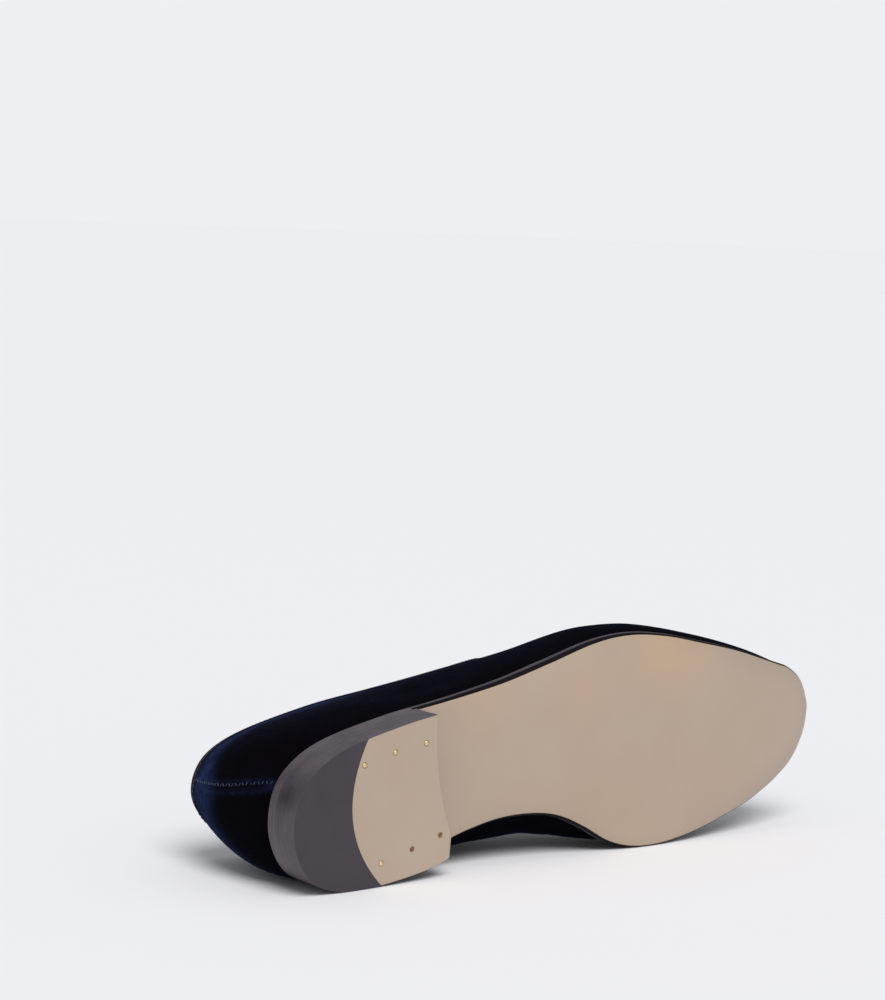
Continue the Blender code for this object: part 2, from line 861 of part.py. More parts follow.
clear_scene()
shoe_parts = new_collection("velvet_slipper")
cutters = new_collection("cutters")

made_pieces = [make_outsole(), make_insole()]
made_pieces += make_heel_stack()
rubber_part, leather_part = make_top_piece()
made_pieces += [rubber_part, leather_part]
made_pieces += make_nails(leather_part)
upper_vertices, upper_faces, free_edge = upper_grid()
upper_shell = make_upper(upper_vertices, upper_faces)
made_pieces += [upper_shell, make_binding(upper_shell, free_edge)]
lay_down(made_pieces)
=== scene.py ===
# Velvet slipper for a right foot, lying empty on its inner side.
# Pieces are worked out in the shoe's own frame: x from heel to toe, y towards the inner side, z up.
import json
import math

import bmesh
import bpy
import numpy as np
from mathutils import Matrix, Vector


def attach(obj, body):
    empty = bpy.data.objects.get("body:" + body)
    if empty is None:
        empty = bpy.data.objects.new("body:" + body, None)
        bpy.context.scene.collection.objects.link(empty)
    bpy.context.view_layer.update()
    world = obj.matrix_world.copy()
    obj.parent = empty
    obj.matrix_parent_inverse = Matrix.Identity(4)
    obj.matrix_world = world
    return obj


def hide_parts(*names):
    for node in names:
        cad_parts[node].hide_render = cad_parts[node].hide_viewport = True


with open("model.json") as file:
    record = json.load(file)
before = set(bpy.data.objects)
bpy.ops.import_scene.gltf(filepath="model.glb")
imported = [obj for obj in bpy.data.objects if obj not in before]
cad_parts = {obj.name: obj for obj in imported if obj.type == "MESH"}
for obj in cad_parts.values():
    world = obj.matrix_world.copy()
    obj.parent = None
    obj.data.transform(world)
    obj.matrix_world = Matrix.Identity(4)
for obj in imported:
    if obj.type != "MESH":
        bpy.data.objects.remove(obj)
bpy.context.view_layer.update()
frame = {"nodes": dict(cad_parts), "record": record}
print("frame loaded:", len(frame["nodes"]), "nodes")

# Sizes of the shoe, in metres; tables hold shares of these sizes
shoe = {
    "soleLength": 0.295,
    "ballWidth": 0.098,
    "soleThickness": 0.0045,
    "heelHeight": 0.013,
    "heelLength": 0.0745,
    "toeSpring": 0.006,
    "flatStart": 0.196,
    "flatLength": 0.018,
    "instepHeight": 0.079,
    "backHeight": 0.0595,
    "wall": 0.002,
    "gap": 0.0003,
    "treads": {"heel_tread": (0.058, 0.0, 0.0), "forefoot_tread": (0.205, 0.005, 0.0)},
}

# Edge of the sole seen from above: along (of the length), across (of the ball's width)
outerEdge = [
    (0.000, 0.000), (0.014, -0.160), (0.048, -0.252), (0.104, -0.302), (0.204, -0.317), (0.303, -0.311),
    (0.395, -0.324), (0.475, -0.358), (0.557, -0.393), (0.622, -0.383), (0.692, -0.326), (0.764, -0.240),
    (0.841, -0.142), (0.924, -0.017), (0.957, 0.035), (0.982, 0.100), (0.996, 0.175),
    (1.000, 0.250),
]
innerEdge = [
    (0.000, 0.000), (0.014, 0.160), (0.048, 0.252), (0.104, 0.304), (0.204, 0.324), (0.279, 0.302),
    (0.330, 0.284), (0.385, 0.279), (0.440, 0.304), (0.480, 0.348), (0.518, 0.424), (0.557, 0.517),
    (0.600, 0.577), (0.655, 0.610), (0.720, 0.617), (0.790, 0.602), (0.850, 0.581), (0.905, 0.541),
    (0.950, 0.487), (0.978, 0.415), (0.995, 0.335), (1.000, 0.250),
]


def smoothStep(share):
    share = np.clip(share, 0.0, 1.0)
    return share * share * (3.0 - 2.0 * share)


def runOf(points):
    # length run from the first point to each one
    return np.concatenate([[0.0], np.cumsum(np.linalg.norm(np.diff(points, axis=0), axis=1))])


def unitRows(vectors):
    return vectors / np.linalg.norm(vectors, axis=1)[:, None].clip(1e-12)


def placesAt(wanted, run, points):
    # places after the wanted lengths along a line of points
    return np.stack([np.interp(wanted, run, points[:, axis]) for axis in range(points.shape[1])], axis=-1)


def curveThrough(rows, count, before=None, after=None):
    # points spread evenly along a smooth curve through the rows, which comes from before and goes on to after
    knots = [np.array(row, dtype=float) for row in rows]
    first = 2.0 * knots[0] - knots[1] if before is None else before
    last = 2.0 * knots[-1] - knots[-2] if after is None else after
    knots = [first] + knots + [last]
    dense = []
    for before, start, end, after in zip(knots, knots[1:], knots[2:], knots[3:]):
        for step in range(32):
            t = step / 32.0
            square = 2.0 * before - 5.0 * start + 4.0 * end - after
            cube = 3.0 * start - before - 3.0 * end + after
            dense.append(0.5 * (2.0 * start + (end - before) * t + square * t * t + cube * t**3))
    dense.append(knots[-2])
    dense = np.array(dense)
    run = runOf(dense)
    return placesAt(np.linspace(0.0, run[-1], count), run, dense)


def tableValue(rows, way, column):
    # smooth curve between the rows of a table
    ways = [row[0] for row in rows]
    values = [row[column] for row in rows]
    place = 0
    while place < len(ways) - 2 and way > ways[place + 1]:
        place += 1
    slopes = []
    for at in (place, place + 1):
        left, right = max(at - 1, 0), min(at + 1, len(ways) - 1)
        slopes.append((values[right] - values[left]) / (ways[right] - ways[left]))
    width = ways[place + 1] - ways[place]
    t = (way - ways[place]) / width
    level = values[place] * (1.0 + 2.0 * t) * (1.0 - t) ** 2 + values[place + 1] * t * t * (3.0 - 2.0 * t)
    return level + slopes[0] * width * t * (1.0 - t) ** 2 - slopes[1] * width * t * t * (1.0 - t)


def soleBottom(along):
    shank = shoe["flatStart"] - shoe["heelLength"]
    rise = shoe["heelHeight"] * smoothStep((shoe["flatStart"] - along) / shank)
    flatEnd = shoe["flatStart"] + shoe["flatLength"]
    toeShare = np.clip((along - flatEnd) / (shoe["soleLength"] - flatEnd), 0.0, 1.0)
    return rise + shoe["toeSpring"] * toeShare**1.8


def soleTop(along):
    return soleBottom(along) + shoe["soleThickness"]


def halfEdge(inner, count):
    # half of the sole's edge from heel to toe, running on smoothly into the other half
    size = np.array([shoe["soleLength"], shoe["ballWidth"]])
    rows, other = (innerEdge, outerEdge) if inner else (outerEdge, innerEdge)
    return curveThrough(np.array(rows) * size, count, np.array(other[1]) * size, np.array(other[-2]) * size)


def wayInward(half, inner):
    # level directions into the shoe along a half edge
    run = unitRows(np.gradient(half, axis=0))
    sign = 1.0 if inner else -1.0
    into = sign * np.stack([run[:, 1], -run[:, 0]], axis=1)
    into[0] = (1.0, 0.0)
    return into


def shoeToFloor():
    # the lying shoe's place, read from the two treads that the record states
    mounts = {mount["name"]: mount for mount in frame["record"]["mounts"]}
    heel, ball = (Vector(mounts[name]["pos_m"]) for name in ("heel_tread", "forefoot_tread"))
    heelOwn, ballOwn = (Vector(shoe["treads"][name]) for name in ("heel_tread", "forefoot_tread"))
    up = -Vector(mounts["heel_tread"]["axis"]).normalized()
    run = (ball - heel).normalized()
    side = up.cross(run)
    turn = math.atan2(ballOwn.y - heelOwn.y, ballOwn.x - heelOwn.x)
    along = run * math.cos(turn) - side * math.sin(turn)
    turned = Matrix((along, up.cross(along), up)).transposed()
    return Matrix.Translation(heel - turned @ heelOwn) @ turned.to_4x4()


lying = shoeToFloor()
lyingTurn = np.array(lying.to_3x3())
lyingShift = np.array(lying.translation)
print("shoe frame found")


def newObject(name, data):
    made = bpy.data.objects.new(name, data)
    bpy.context.scene.collection.objects.link(made)
    return made


def layPiece(name, points, faces, materials, faceSlots=None, smoothAngle=40.0):
    # a mesh object from points in the shoe's frame, laid down with the shoe
    mesh = bpy.data.meshes.new(name)
    placed = np.asarray(points, dtype=float) @ lyingTurn.T + lyingShift
    mesh.from_pydata(placed.tolist(), [], [tuple(int(at) for at in face) for face in faces])
    for material in materials:
        mesh.materials.append(material)
    if faceSlots is not None:
        mesh.polygons.foreach_set("material_index", np.asarray(faceSlots, dtype=np.int32))
    mesh.validate()
    mesh.shade_smooth()
    mesh.set_sharp_from_angle(angle=math.radians(smoothAngle))
    mesh.update()
    return newObject(name, mesh)


def settle(piece, slot, *nodes):
    # every piece rides on the one body, and stands for its solids
    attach(piece, "root")
    if nodes:
        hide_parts(*nodes)
    return piece


def setPointValue(piece, name, values):
    attribute = piece.data.attributes.new(name, "FLOAT", "POINT")
    attribute.data.foreach_set("value", np.asarray(values, dtype=np.float32))


def bandFaces(start, rings, size):
    # quads that join closed rings of the same size, one after another
    faces = []
    for ring in range(rings - 1):
        low = start + ring * size
        for at in range(size):
            after = (at + 1) % size
            faces.append((low + at, low + after, low + size + after, low + size + at))
    return faces


def closedFaces(start, rings, size):
    # the same with the first and the last ring closed
    caps = [range(start, start + size)[::-1], range(start + (rings - 1) * size, start + rings * size)]
    return bandFaces(start, rings, size) + caps


def ringAround(centre, first, second, radius, sides):
    # points of a round ring, from the first direction towards the second
    angles = [2.0 * math.pi * side / sides for side in range(sides)]
    return [centre + (first * math.cos(angle) + second * math.sin(angle)) * radius for angle in angles]


# Shader groups

def newGroup(name, inputs, output):
    # a shader group with one output; an input without a default is a vector
    group = bpy.data.node_groups.new(name, "ShaderNodeTree")
    for label, default in inputs.items():
        kind = "NodeSocketVector" if default is None else "NodeSocketFloat"
        socket = group.interface.new_socket(name=label, in_out="INPUT", socket_type=kind)
        if default is not None:
            socket.default_value = default
    group.interface.new_socket(name=output, in_out="OUTPUT", socket_type="NodeSocketFloat")
    return group, group.nodes.new("NodeGroupInput"), group.nodes.new("NodeGroupOutput")


def addNode(tree, kind, values=None, **settings):
    node = tree.nodes.new(kind)
    for label, value in settings.items():
        setattr(node, label, value)
    for label, value in (values or {}).items():
        node.inputs[label].default_value = value
    return node


def linkAll(tree, links):
    # each link: node, output, node, input
    for source, output, target, entry in links:
        tree.links.new(source.outputs[output], target.inputs[entry])


def mottleGroup():
    # large soft patches between 0 and 1
    group, start, end = newGroup("softMottle", {"Vector": None, "Scale": 30.0, "Contrast": 2.0}, "Mask")
    noise = addNode(group, "ShaderNodeTexNoise", {"Detail": 3.0, "Roughness": 0.55})
    centred = addNode(group, "ShaderNodeMath", {1: 0.5}, operation="SUBTRACT")
    scaled = addNode(group, "ShaderNodeMath", operation="MULTIPLY")
    lifted = addNode(group, "ShaderNodeMath", {1: 0.5}, operation="ADD", use_clamp=True)
    links = [
        (start, "Vector", noise, "Vector"),
        (start, "Scale", noise, "Scale"),
        (noise, "Fac", centred, 0),
        (centred, 0, scaled, 0),
        (start, "Contrast", scaled, 1),
        (scaled, 0, lifted, 0),
        (lifted, 0, end, "Mask"),
    ]
    linkAll(group, links)
    return group


def grainGroup():
    # fine grain as a height, with a few long scratches
    group, start, end = newGroup("fineGrain", {"Vector": None, "Scale": 1500.0, "Scratches": 0.0}, "Height")
    noise = addNode(group, "ShaderNodeTexNoise", {"Detail": 4.0, "Roughness": 0.6})
    stretched = {"Scale": (25.0, 420.0, 420.0), "Rotation": (0.0, 0.0, 0.35)}
    stretch = addNode(group, "ShaderNodeMapping", stretched)
    lines = addNode(group, "ShaderNodeTexNoise", {"Scale": 1.0, "Detail": 1.0})
    cut = {"From Min": 0.66, "From Max": 0.74, "To Min": 0.0, "To Max": -1.0}
    sharpened = addNode(group, "ShaderNodeMapRange", cut)
    weighted = addNode(group, "ShaderNodeMath", operation="MULTIPLY")
    added = addNode(group, "ShaderNodeMath", operation="ADD")
    links = [
        (start, "Vector", noise, "Vector"),
        (start, "Scale", noise, "Scale"),
        (start, "Vector", stretch, "Vector"),
        (stretch, "Vector", lines, "Vector"),
        (lines, "Fac", sharpened, "Value"),
        (sharpened, "Result", weighted, 0),
        (start, "Scratches", weighted, 1),
        (noise, "Fac", added, 0),
        (weighted, 0, added, 1),
        (added, 0, end, "Height"),
    ]
    linkAll(group, links)
    return group


softMottle = mottleGroup()
fineGrain = grainGroup()


def newMaterial(name, values):
    # a material with its Principled shader set, and the shoe's coordinates
    material = bpy.data.materials.new(name)
    material.use_nodes = True
    tree = material.node_tree
    shader = tree.nodes["Principled BSDF"]
    for label, value in values.items():
        shader.inputs[label].default_value = value
    where = addNode(tree, "ShaderNodeTexCoord")
    return material, tree, shader, where.outputs["Object"]


def placeGroup(tree, group, where, values):
    node = addNode(tree, "ShaderNodeGroup", values, node_tree=group)
    tree.links.new(where, node.inputs["Vector"])
    return node


def mottleMask(tree, where, scale, contrast):
    return placeGroup(tree, softMottle, where, {"Scale": scale, "Contrast": contrast}).outputs["Mask"]


def blendColours(tree, mask, under, colour):
    # under is a colour, or the socket that gives one
    mix = addNode(tree, "ShaderNodeMix", data_type="RGBA")
    if isinstance(under, tuple):
        mix.inputs["A"].default_value = under
    else:
        tree.links.new(under, mix.inputs["A"])
    mix.inputs["B"].default_value = colour
    tree.links.new(mask, mix.inputs["Factor"])
    return mix.outputs["Result"]


def addBump(tree, shader, height, strength, distance, under=None):
    bump = addNode(tree, "ShaderNodeBump", {"Strength": strength, "Distance": distance})
    tree.links.new(height, bump.inputs["Height"])
    if under is not None:
        tree.links.new(under, bump.inputs["Normal"])
    tree.links.new(bump.outputs["Normal"], shader.inputs["Normal"])
    return bump.outputs["Normal"]


def rangeOf(tree, value, low, high):
    spread = addNode(tree, "ShaderNodeMapRange", {"To Min": low, "To Max": high})
    tree.links.new(value, spread.inputs["Value"])
    return spread.outputs["Result"]


velvetLook = {
    "shader": {
        "Roughness": 1.0,
        "Specular IOR Level": 0.02,
        "Sheen Weight": 0.18,
        "Sheen Roughness": 0.12,
        "Sheen Tint": (0.10, 0.19, 0.62, 1.0),
    },
    "deep": (0.0014, 0.0010, 0.0020, 1.0),
    "lightened": (0.0026, 0.0021, 0.0046, 1.0),
    # lighter blue of the velvet: painted sheen at the rims and by the back seam, partly brushed nap
    "napAndSheen": (0.0210, 0.0350, 0.1080, 1.0),
    "patches": (42.0, 2.2),
    "streaks": (300.0, 3.0),
    "leastNapAndSheen": 0.45,
    # noise scale and detail, bump strength and distance
    "strokes": (160.0, 3.0, 0.35, 0.0012),
    "nap": (2600.0, 2.0, 0.9, 0.00025),
}


def velvetMaterial():
    material, tree, shader, where = newMaterial("navyVelvet", velvetLook["shader"])
    patches = mottleMask(tree, where, *velvetLook["patches"])
    colour = blendColours(tree, patches, velvetLook["deep"], velvetLook["lightened"])
    # mask of painted sheen and brushed nap, set on the points and broken up by streaks
    napAndSheen = addNode(tree, "ShaderNodeAttribute", attribute_name="napAndSheen")
    streaks = mottleMask(tree, where, *velvetLook["streaks"])
    lightened = addNode(tree, "ShaderNodeMath", operation="MULTIPLY")
    tree.links.new(napAndSheen.outputs["Fac"], lightened.inputs[0])
    tree.links.new(rangeOf(tree, streaks, velvetLook["leastNapAndSheen"], 1.0), lightened.inputs[1])
    colour = blendColours(tree, lightened.outputs[0], colour, velvetLook["napAndSheen"])
    tree.links.new(colour, shader.inputs["Base Color"])
    under = None
    for scale, detail, strength, distance in (velvetLook["strokes"], velvetLook["nap"]):
        noise = addNode(tree, "ShaderNodeTexNoise", {"Scale": scale, "Detail": detail})
        tree.links.new(where, noise.inputs["Vector"])
        under = addBump(tree, shader, noise.outputs["Fac"], strength, distance, under)
    return material


grosgrainLook = {
    "shader": {
        "Roughness": 0.70,
        "Specular IOR Level": 0.04,
        "Sheen Weight": 0.02,
        "Sheen Roughness": 0.4,
        "Sheen Tint": (0.75, 0.65, 0.9, 1.0),
    },
    "groove": (0.002, 0.0015, 0.003, 1.0),
    "rib": (0.016, 0.012, 0.021, 1.0),
    "ribScale": 0.45,
    "ribStrength": 0.9,
    "ribDepth": 0.0003,
}


def grosgrainMaterial():
    material, tree, shader = newMaterial("grosgrain", grosgrainLook["shader"])[:3]
    ribbon = addNode(tree, "ShaderNodeUVMap", uv_map="ribbon")
    waves = {"Scale": grosgrainLook["ribScale"], "Distortion": 0.0}
    ribs = addNode(tree, "ShaderNodeTexWave", waves, wave_type="BANDS", bands_direction="X")
    tree.links.new(ribbon.outputs["UV"], ribs.inputs["Vector"])
    colour = blendColours(tree, ribs.outputs["Fac"], grosgrainLook["groove"], grosgrainLook["rib"])
    tree.links.new(colour, shader.inputs["Base Color"])
    addBump(tree, shader, ribs.outputs["Fac"], grosgrainLook["ribStrength"], grosgrainLook["ribDepth"])
    return material


# Leather, rubber, brass and thread
# patches: scale, contrast; gloss: scale, contrast, least and most roughness
# grain: scale, scratches, strength, depth; marks: a point value and the colour that it blends in
finishes = {
    "blackLining": {
        "shader": {"Roughness": 0.5, "Specular IOR Level": 0.4},
        "colours": [(0.010, 0.009, 0.010, 1.0), (0.022, 0.020, 0.023, 1.0)],
        "patches": (55.0, 1.6),
        "gloss": (55.0, 1.6, 0.42, 0.62),
        "grain": (1400.0, 0.0, 0.5, 0.0002),
    },
    "tanSoleLeather": {
        "shader": {"Roughness": 0.38, "Coat Weight": 0.30, "Coat Roughness": 0.20},
        "colours": [(0.457, 0.358, 0.279, 1.0), (0.414, 0.308, 0.223, 1.0)],
        "patches": (16.0, 1.5),
        # warm is a tone of the leather; the greyer colour is painted shade
        "marks": {"warm": (0.530, 0.350, 0.203, 1.0), "soleShade": (0.345, 0.280, 0.230, 1.0)},
        "gloss": (260.0, 1.4, 0.30, 0.46),
        "grain": (1100.0, 0.5, 0.25, 0.00012),
    },
    "heelRubber": {
        "shader": {"Roughness": 0.55, "Specular IOR Level": 0.4},
        "colours": [(0.040, 0.032, 0.042, 1.0), (0.050, 0.041, 0.052, 1.0)],
        "patches": (90.0, 1.4),
        "grain": (1700.0, 0.4, 0.4, 0.0002),
    },
    "navyThread": {
        "shader": {"Roughness": 0.6, "Sheen Weight": 0.4, "Sheen Tint": (0.5, 0.6, 1.0, 1.0)},
        "colours": [(0.008, 0.010, 0.025, 1.0), (0.030, 0.040, 0.085, 1.0)],
        "patches": (1800.0, 2.5),
    },
}
brassLooks = {
    "nailBrass": [(0.98, 0.78, 0.44, 1.0), (0.78, 0.58, 0.32, 1.0)],
    "tarnishedBrass": [(0.34, 0.19, 0.10, 1.0), (0.20, 0.11, 0.06, 1.0)],
}
for brassName, brassColours in brassLooks.items():
    finishes[brassName] = {
        "shader": {"Metallic": 1.0, "Roughness": 0.3},
        "colours": brassColours,
        "patches": (900.0, 2.0),
        "gloss": (900.0, 2.0, 0.35, 0.60),
    }
# Stained and waxed leather: its two colours, least roughness and shine
dressedLooks = {
    # a lighter copy of the edge stain: a painted highlight line
    "highlitEdge": [(0.030, 0.024, 0.031, 1.0), (0.095, 0.078, 0.098, 1.0), 0.30, 0.30],
    "edgeInk": [(0.002, 0.0015, 0.002, 1.0), (0.005, 0.004, 0.005, 1.0), 0.49, 0.10],
    # painted shadow around the nail heads
    "nailShadowRing": [(0.200, 0.130, 0.080, 1.0), (0.330, 0.235, 0.155, 1.0), 0.54, 0.20],
    "stackLeather": [(0.040, 0.032, 0.038, 1.0), (0.112, 0.091, 0.113, 1.0), 0.30, 0.35],
}
for dressedName, (stain, worn, smoothest, shine) in dressedLooks.items():
    finishes[dressedName] = {
        "shader": {"Specular IOR Level": shine, "Specular Tint": (0.90, 0.80, 0.92, 1.0)},
        "colours": [stain, worn],
        "patches": (60.0, 1.8),
        # painted shade, blended in where a piece sets it: the darker patch on the heel's side
        "marks": {"paintedShade": (0.014, 0.012, 0.011, 1.0)},
        "gloss": (60.0, 1.8, smoothest, smoothest + 0.14),
        "grain": (900.0, 0.6, 0.3, 0.00015),
    }


def finishMaterial(name, look):
    material, tree, shader, where = newMaterial(name, look["shader"])
    colour = blendColours(tree, mottleMask(tree, where, *look["patches"]), *look["colours"])
    for label, shade in look.get("marks", {}).items():
        amount = addNode(tree, "ShaderNodeAttribute", attribute_name=label)
        colour = blendColours(tree, amount.outputs["Fac"], colour, shade)
    tree.links.new(colour, shader.inputs["Base Color"])
    if "gloss" in look:
        scale, contrast, least, most = look["gloss"]
        mask = mottleMask(tree, where, scale, contrast)
        tree.links.new(rangeOf(tree, mask, least, most), shader.inputs["Roughness"])
    if "grain" in look:
        scale, scratches, strength, depth = look["grain"]
        grain = placeGroup(tree, fineGrain, where, {"Scale": scale, "Scratches": scratches})
        addBump(tree, shader, grain.outputs["Height"], strength, depth)
    return material


finish = {name: finishMaterial(name, look) for name, look in finishes.items()}
finish["navyVelvet"] = velvetMaterial()
finish["grosgrain"] = grosgrainMaterial()
print("materials made:", len(finish))

# Upper: the same last and sections as the solid, with finer columns and levels
upper = {
    "seatMargin": 0.0012,
    "weltMargin": 0.0024,
    "tongueRise": 0.015,
    "tongueFlare": 0.0025,
    "tongueRoundness": 0.9,
    "tongueLean": Vector((-0.82, 0.0, 0.57)),
    "bindingWidth": 0.0036,
    "bindingClearance": 0.0006,
    "throat": 0.52,
    "quarterColumns": 96,
    "vampColumns": 96,
    "wallLevels": 34,
    "crownLevels": 22,
    "crownStart": 0.55,
    "tongueRows": 12,
    "crowding": 0.45,
    "tuck": 0.0005,
}
crown = [
    # way, along (of the sole), across (of the ball), height (of the instep)
    (0.00, 0.068, 0.000, 1.340),
    (0.10, 0.092, 0.000, 1.350),
    (0.20, 0.164, 0.000, 1.335),
    (0.30, 0.259, 0.000, 1.295),
    (0.40, 0.362, 0.015, 1.215),
    (0.47, 0.450, 0.031, 1.105),
    (0.52, 0.512, 0.041, 1.000),
    (0.60, 0.590, 0.071, 0.862),
    (0.70, 0.686, 0.112, 0.702),
    (0.80, 0.780, 0.148, 0.565),
    (0.88, 0.851, 0.173, 0.476),
    (0.94, 0.897, 0.189, 0.428),
    (1.00, 0.928, 0.199, 0.395),
]
outerBend = [
    # way, rise, out, reach, drop
    (0.00, 0.34, 0.098, 0.74, 0.29),
    (0.12, 0.32, 0.088, 0.64, 0.25),
    (0.30, 0.36, 0.050, 0.77, 0.20),
    (0.42, 0.40, 0.040, 0.71, 0.13),
    (0.52, 0.46, 0.020, 0.62, 0.05),
    (0.60, 0.38, 0.110, 0.64, 0.03),
    (0.70, 0.34, 0.150, 0.62, 0.02),
    (0.80, 0.36, 0.140, 0.63, 0.02),
    (0.90, 0.40, 0.120, 0.62, 0.06),
    (1.00, 0.44, 0.006, 0.50, 0.21),
]
innerBend = [
    # way, rise, out, reach, drop
    (0.00, 0.34, 0.098, 0.74, 0.29),
    (0.12, 0.27, 0.104, 0.66, 0.27),
    (0.22, 0.30, 0.112, 0.79, 0.21),
    (0.32, 0.30, 0.370, 1.08, 0.18),
    (0.42, 0.34, 0.450, 1.13, 0.12),
    (0.50, 0.38, 0.320, 0.97, 0.06),
    (0.58, 0.40, 0.120, 0.74, 0.03),
    (0.70, 0.38, 0.034, 0.60, 0.02),
    (0.80, 0.40, 0.018, 0.58, 0.02),
    (0.90, 0.42, 0.014, 0.56, 0.06),
    (1.00, 0.44, 0.006, 0.50, 0.21),
]
topline = [
    # way, height (of the back)
    (0.000, 1.000),
    (0.080, 0.995),
    (0.240, 0.880),
    (0.360, 0.752),
    (0.430, 0.676),
    (0.462, 0.672),
    (0.485, 0.710),
    (0.504, 0.785),
    (0.520, 0.890),
]


def upperMargin(along):
    growth = upper["weltMargin"] - upper["seatMargin"]
    return upper["seatMargin"] + growth * smoothStep(along / shoe["flatStart"])


def sectionCage(side, way):
    # four points of the Bezier curve from the sole's edge to the crown of the last
    at = way * (len(side["edge"]) - 1)
    low = min(int(at), len(side["edge"]) - 2)
    share = at - low
    foot, wayIn = (side[key][low] * (1.0 - share) + side[key][low + 1] * share for key in ("edge", "inward"))
    wayIn /= np.linalg.norm(wayIn)
    foot = foot + wayIn * upperMargin(foot[0])
    start = np.array([foot[0], foot[1], soleTop(foot[0]) + shoe["gap"]])
    sizes = (shoe["soleLength"], shoe["ballWidth"], shoe["instepHeight"])
    top = np.array([tableValue(crown, way, column + 1) * sizes[column] for column in range(3)])
    rise, out, reach, drop = (tableValue(side["bend"], way, column) for column in (1, 2, 3, 4))
    height = top[2] - start[2]
    bulge = -out * shoe["ballWidth"]
    first = start + np.array([wayIn[0] * bulge, wayIn[1] * bulge, rise * height])
    second = top + np.array([(start[0] - top[0]) * reach, (start[1] - top[1]) * reach, -drop * height])
    return start, first, second, top


def alongSection(cage, level):
    level = np.atleast_1d(level)[:, None]
    rest = 1.0 - level
    start, first, second, top = cage
    lower = start * rest**3 + first * (3.0 * rest * rest * level)
    return lower + second * (3.0 * rest * level * level) + top * level**3


def levelAtHeight(cage, height):
    low, high = 0.0, 1.0
    for _ in range(30):
        middle = 0.5 * (low + high)
        if alongSection(cage, middle)[0, 2] < height:
            low = middle
        else:
            high = middle
    return 0.5 * (low + high)


def wallTop(way):
    finished = shoe["heelHeight"] + shoe["soleThickness"] + tableValue(topline, way, 1) * shoe["backHeight"]
    return finished - upper["bindingWidth"] - upper["bindingClearance"]


def crownShare(step):
    share = step / upper["crownLevels"]
    return share * (upper["crownStart"] + (1.0 - upper["crownStart"]) * share)


def upperColumns():
    ways = []
    for at in range(upper["quarterColumns"] + 1):
        share = at / upper["quarterColumns"]
        crowd = upper["crowding"] * math.sin(2.0 * math.pi * share) / (2.0 * math.pi)
        ways.append(upper["throat"] * (share - crowd))
    for at in range(1, upper["vampColumns"] + 1):
        ways.append(upper["throat"] + (1.0 - upper["throat"]) * at / upper["vampColumns"])
    return ways


def upperSides():
    sides = {}
    for name, bend in (("outer", outerBend), ("inner", innerBend)):
        half = halfEdge(name == "inner", 700)
        sides[name] = {"edge": half, "inward": wayInward(half, name == "inner"), "bend": bend}
    return sides


def upperSurface():
    # outer face of the upper, with the way round and the level of every point
    sides = upperSides()
    ways = upperColumns()
    last = len(ways) - 1
    quarters = upper["quarterColumns"]
    wallLevels = upper["wallLevels"]
    topLevel = wallLevels + upper["crownLevels"]
    crownSteps = range(1, upper["crownLevels"] + 1)
    points, spots, index = [], [], {}

    def keyOf(name, column, level):
        return ("both" if column in (0, last) or level == topLevel else name, column, level)

    def put(key, point, spot):
        if key not in index:
            index[key] = len(points)
            points.append(point)
            spots.append(spot)

    for name, side in sides.items():
        sign = -1.0 if name == "outer" else 1.0
        cornerCage = sectionCage(side, upper["throat"])
        corner = levelAtHeight(cornerCage, wallTop(upper["throat"]))
        for column, way in enumerate(ways):
            cage = sectionCage(side, way)
            cut = levelAtHeight(cage, wallTop(way)) if column <= quarters else corner
            shares = [cut * step / wallLevels for step in range(wallLevels + 1)]
            if column >= quarters:
                shares += [cut + (1.0 - cut) * crownShare(step) for step in crownSteps]
            for level, point in enumerate(alongSection(cage, np.array(shares))):
                put(keyOf(name, column, level), point, (sign, way, level / wallLevels))
    faces = []
    for name in sides:
        for column in range(last):
            for level in range(wallLevels if column < quarters else topLevel):
                corners = [(column, level), (column + 1, level), (column + 1, level + 1), (column, level + 1)]
                face = [index[keyOf(name, *corner)] for corner in corners]
                faces.append(face if name == "outer" else face[::-1])
    edge = [index[keyOf("outer", column, wallLevels)] for column in range(quarters)]
    steps = list(range(upper["crownLevels"] + 1))
    throat = [index[keyOf("outer", quarters, wallLevels + step)] for step in steps]
    throat += [index[keyOf("inner", quarters, wallLevels + step)] for step in steps[-2::-1]]
    tongueEdge = addTongue(points, spots, faces, throat)
    back = [index[keyOf("inner", column, wallLevels)] for column in range(quarters - 1, 0, -1)]
    return np.array(points), spots, faces, edge + tongueEdge + back


def addTongue(points, spots, faces, throat):
    # the vamp runs on past the throat as a rounded tongue
    rise = upper["tongueRise"] - upper["bindingWidth"] - upper["bindingClearance"]
    lean = np.array(upper["tongueLean"].normalized())
    ends = len(throat) - 1
    rows = [throat]
    for row in range(1, upper["tongueRows"] + 1):
        up = row / upper["tongueRows"]
        line = [throat[0]]
        for step in range(1, ends):
            inwards = crownShare(min(step, ends - step))
            tall = (1.0 - (1.0 - inwards) ** 2) ** upper["tongueRoundness"]
            arch = points[throat[step + 1]] - points[throat[step - 1]]
            outward = np.cross(arch, lean)
            outward /= np.linalg.norm(outward)
            line.append(len(points))
            flare = outward * upper["tongueFlare"] * (tall * up) ** 2
            points.append(points[throat[step]] + lean * rise * tall * up + flare)
            spots.append((0.0, upper["throat"], 3.0 + up))
        line.append(throat[-1])
        rows.append(line)
    for lower, higher in zip(rows, rows[1:]):
        for step in range(ends):
            face = [lower[step], lower[step + 1], higher[step + 1], higher[step]]
            faces.append([at for place, at in enumerate(face) if at not in face[:place]])
    return rows[-1]


def normalsOf(points, faces):
    # area-weighted normals of an open surface
    normals = np.zeros_like(points)
    for size in (3, 4):
        group = np.array([face for face in faces if len(face) == size])
        if not len(group):
            continue
        corners = [points[group[:, corner]] for corner in range(size)]
        if size == 3:
            across = np.cross(corners[1] - corners[0], corners[2] - corners[0])
        else:
            across = np.cross(corners[2] - corners[0], corners[3] - corners[1])
        for corner in range(size):
            np.add.at(normals, group[:, corner], across)
    return unitRows(normals)


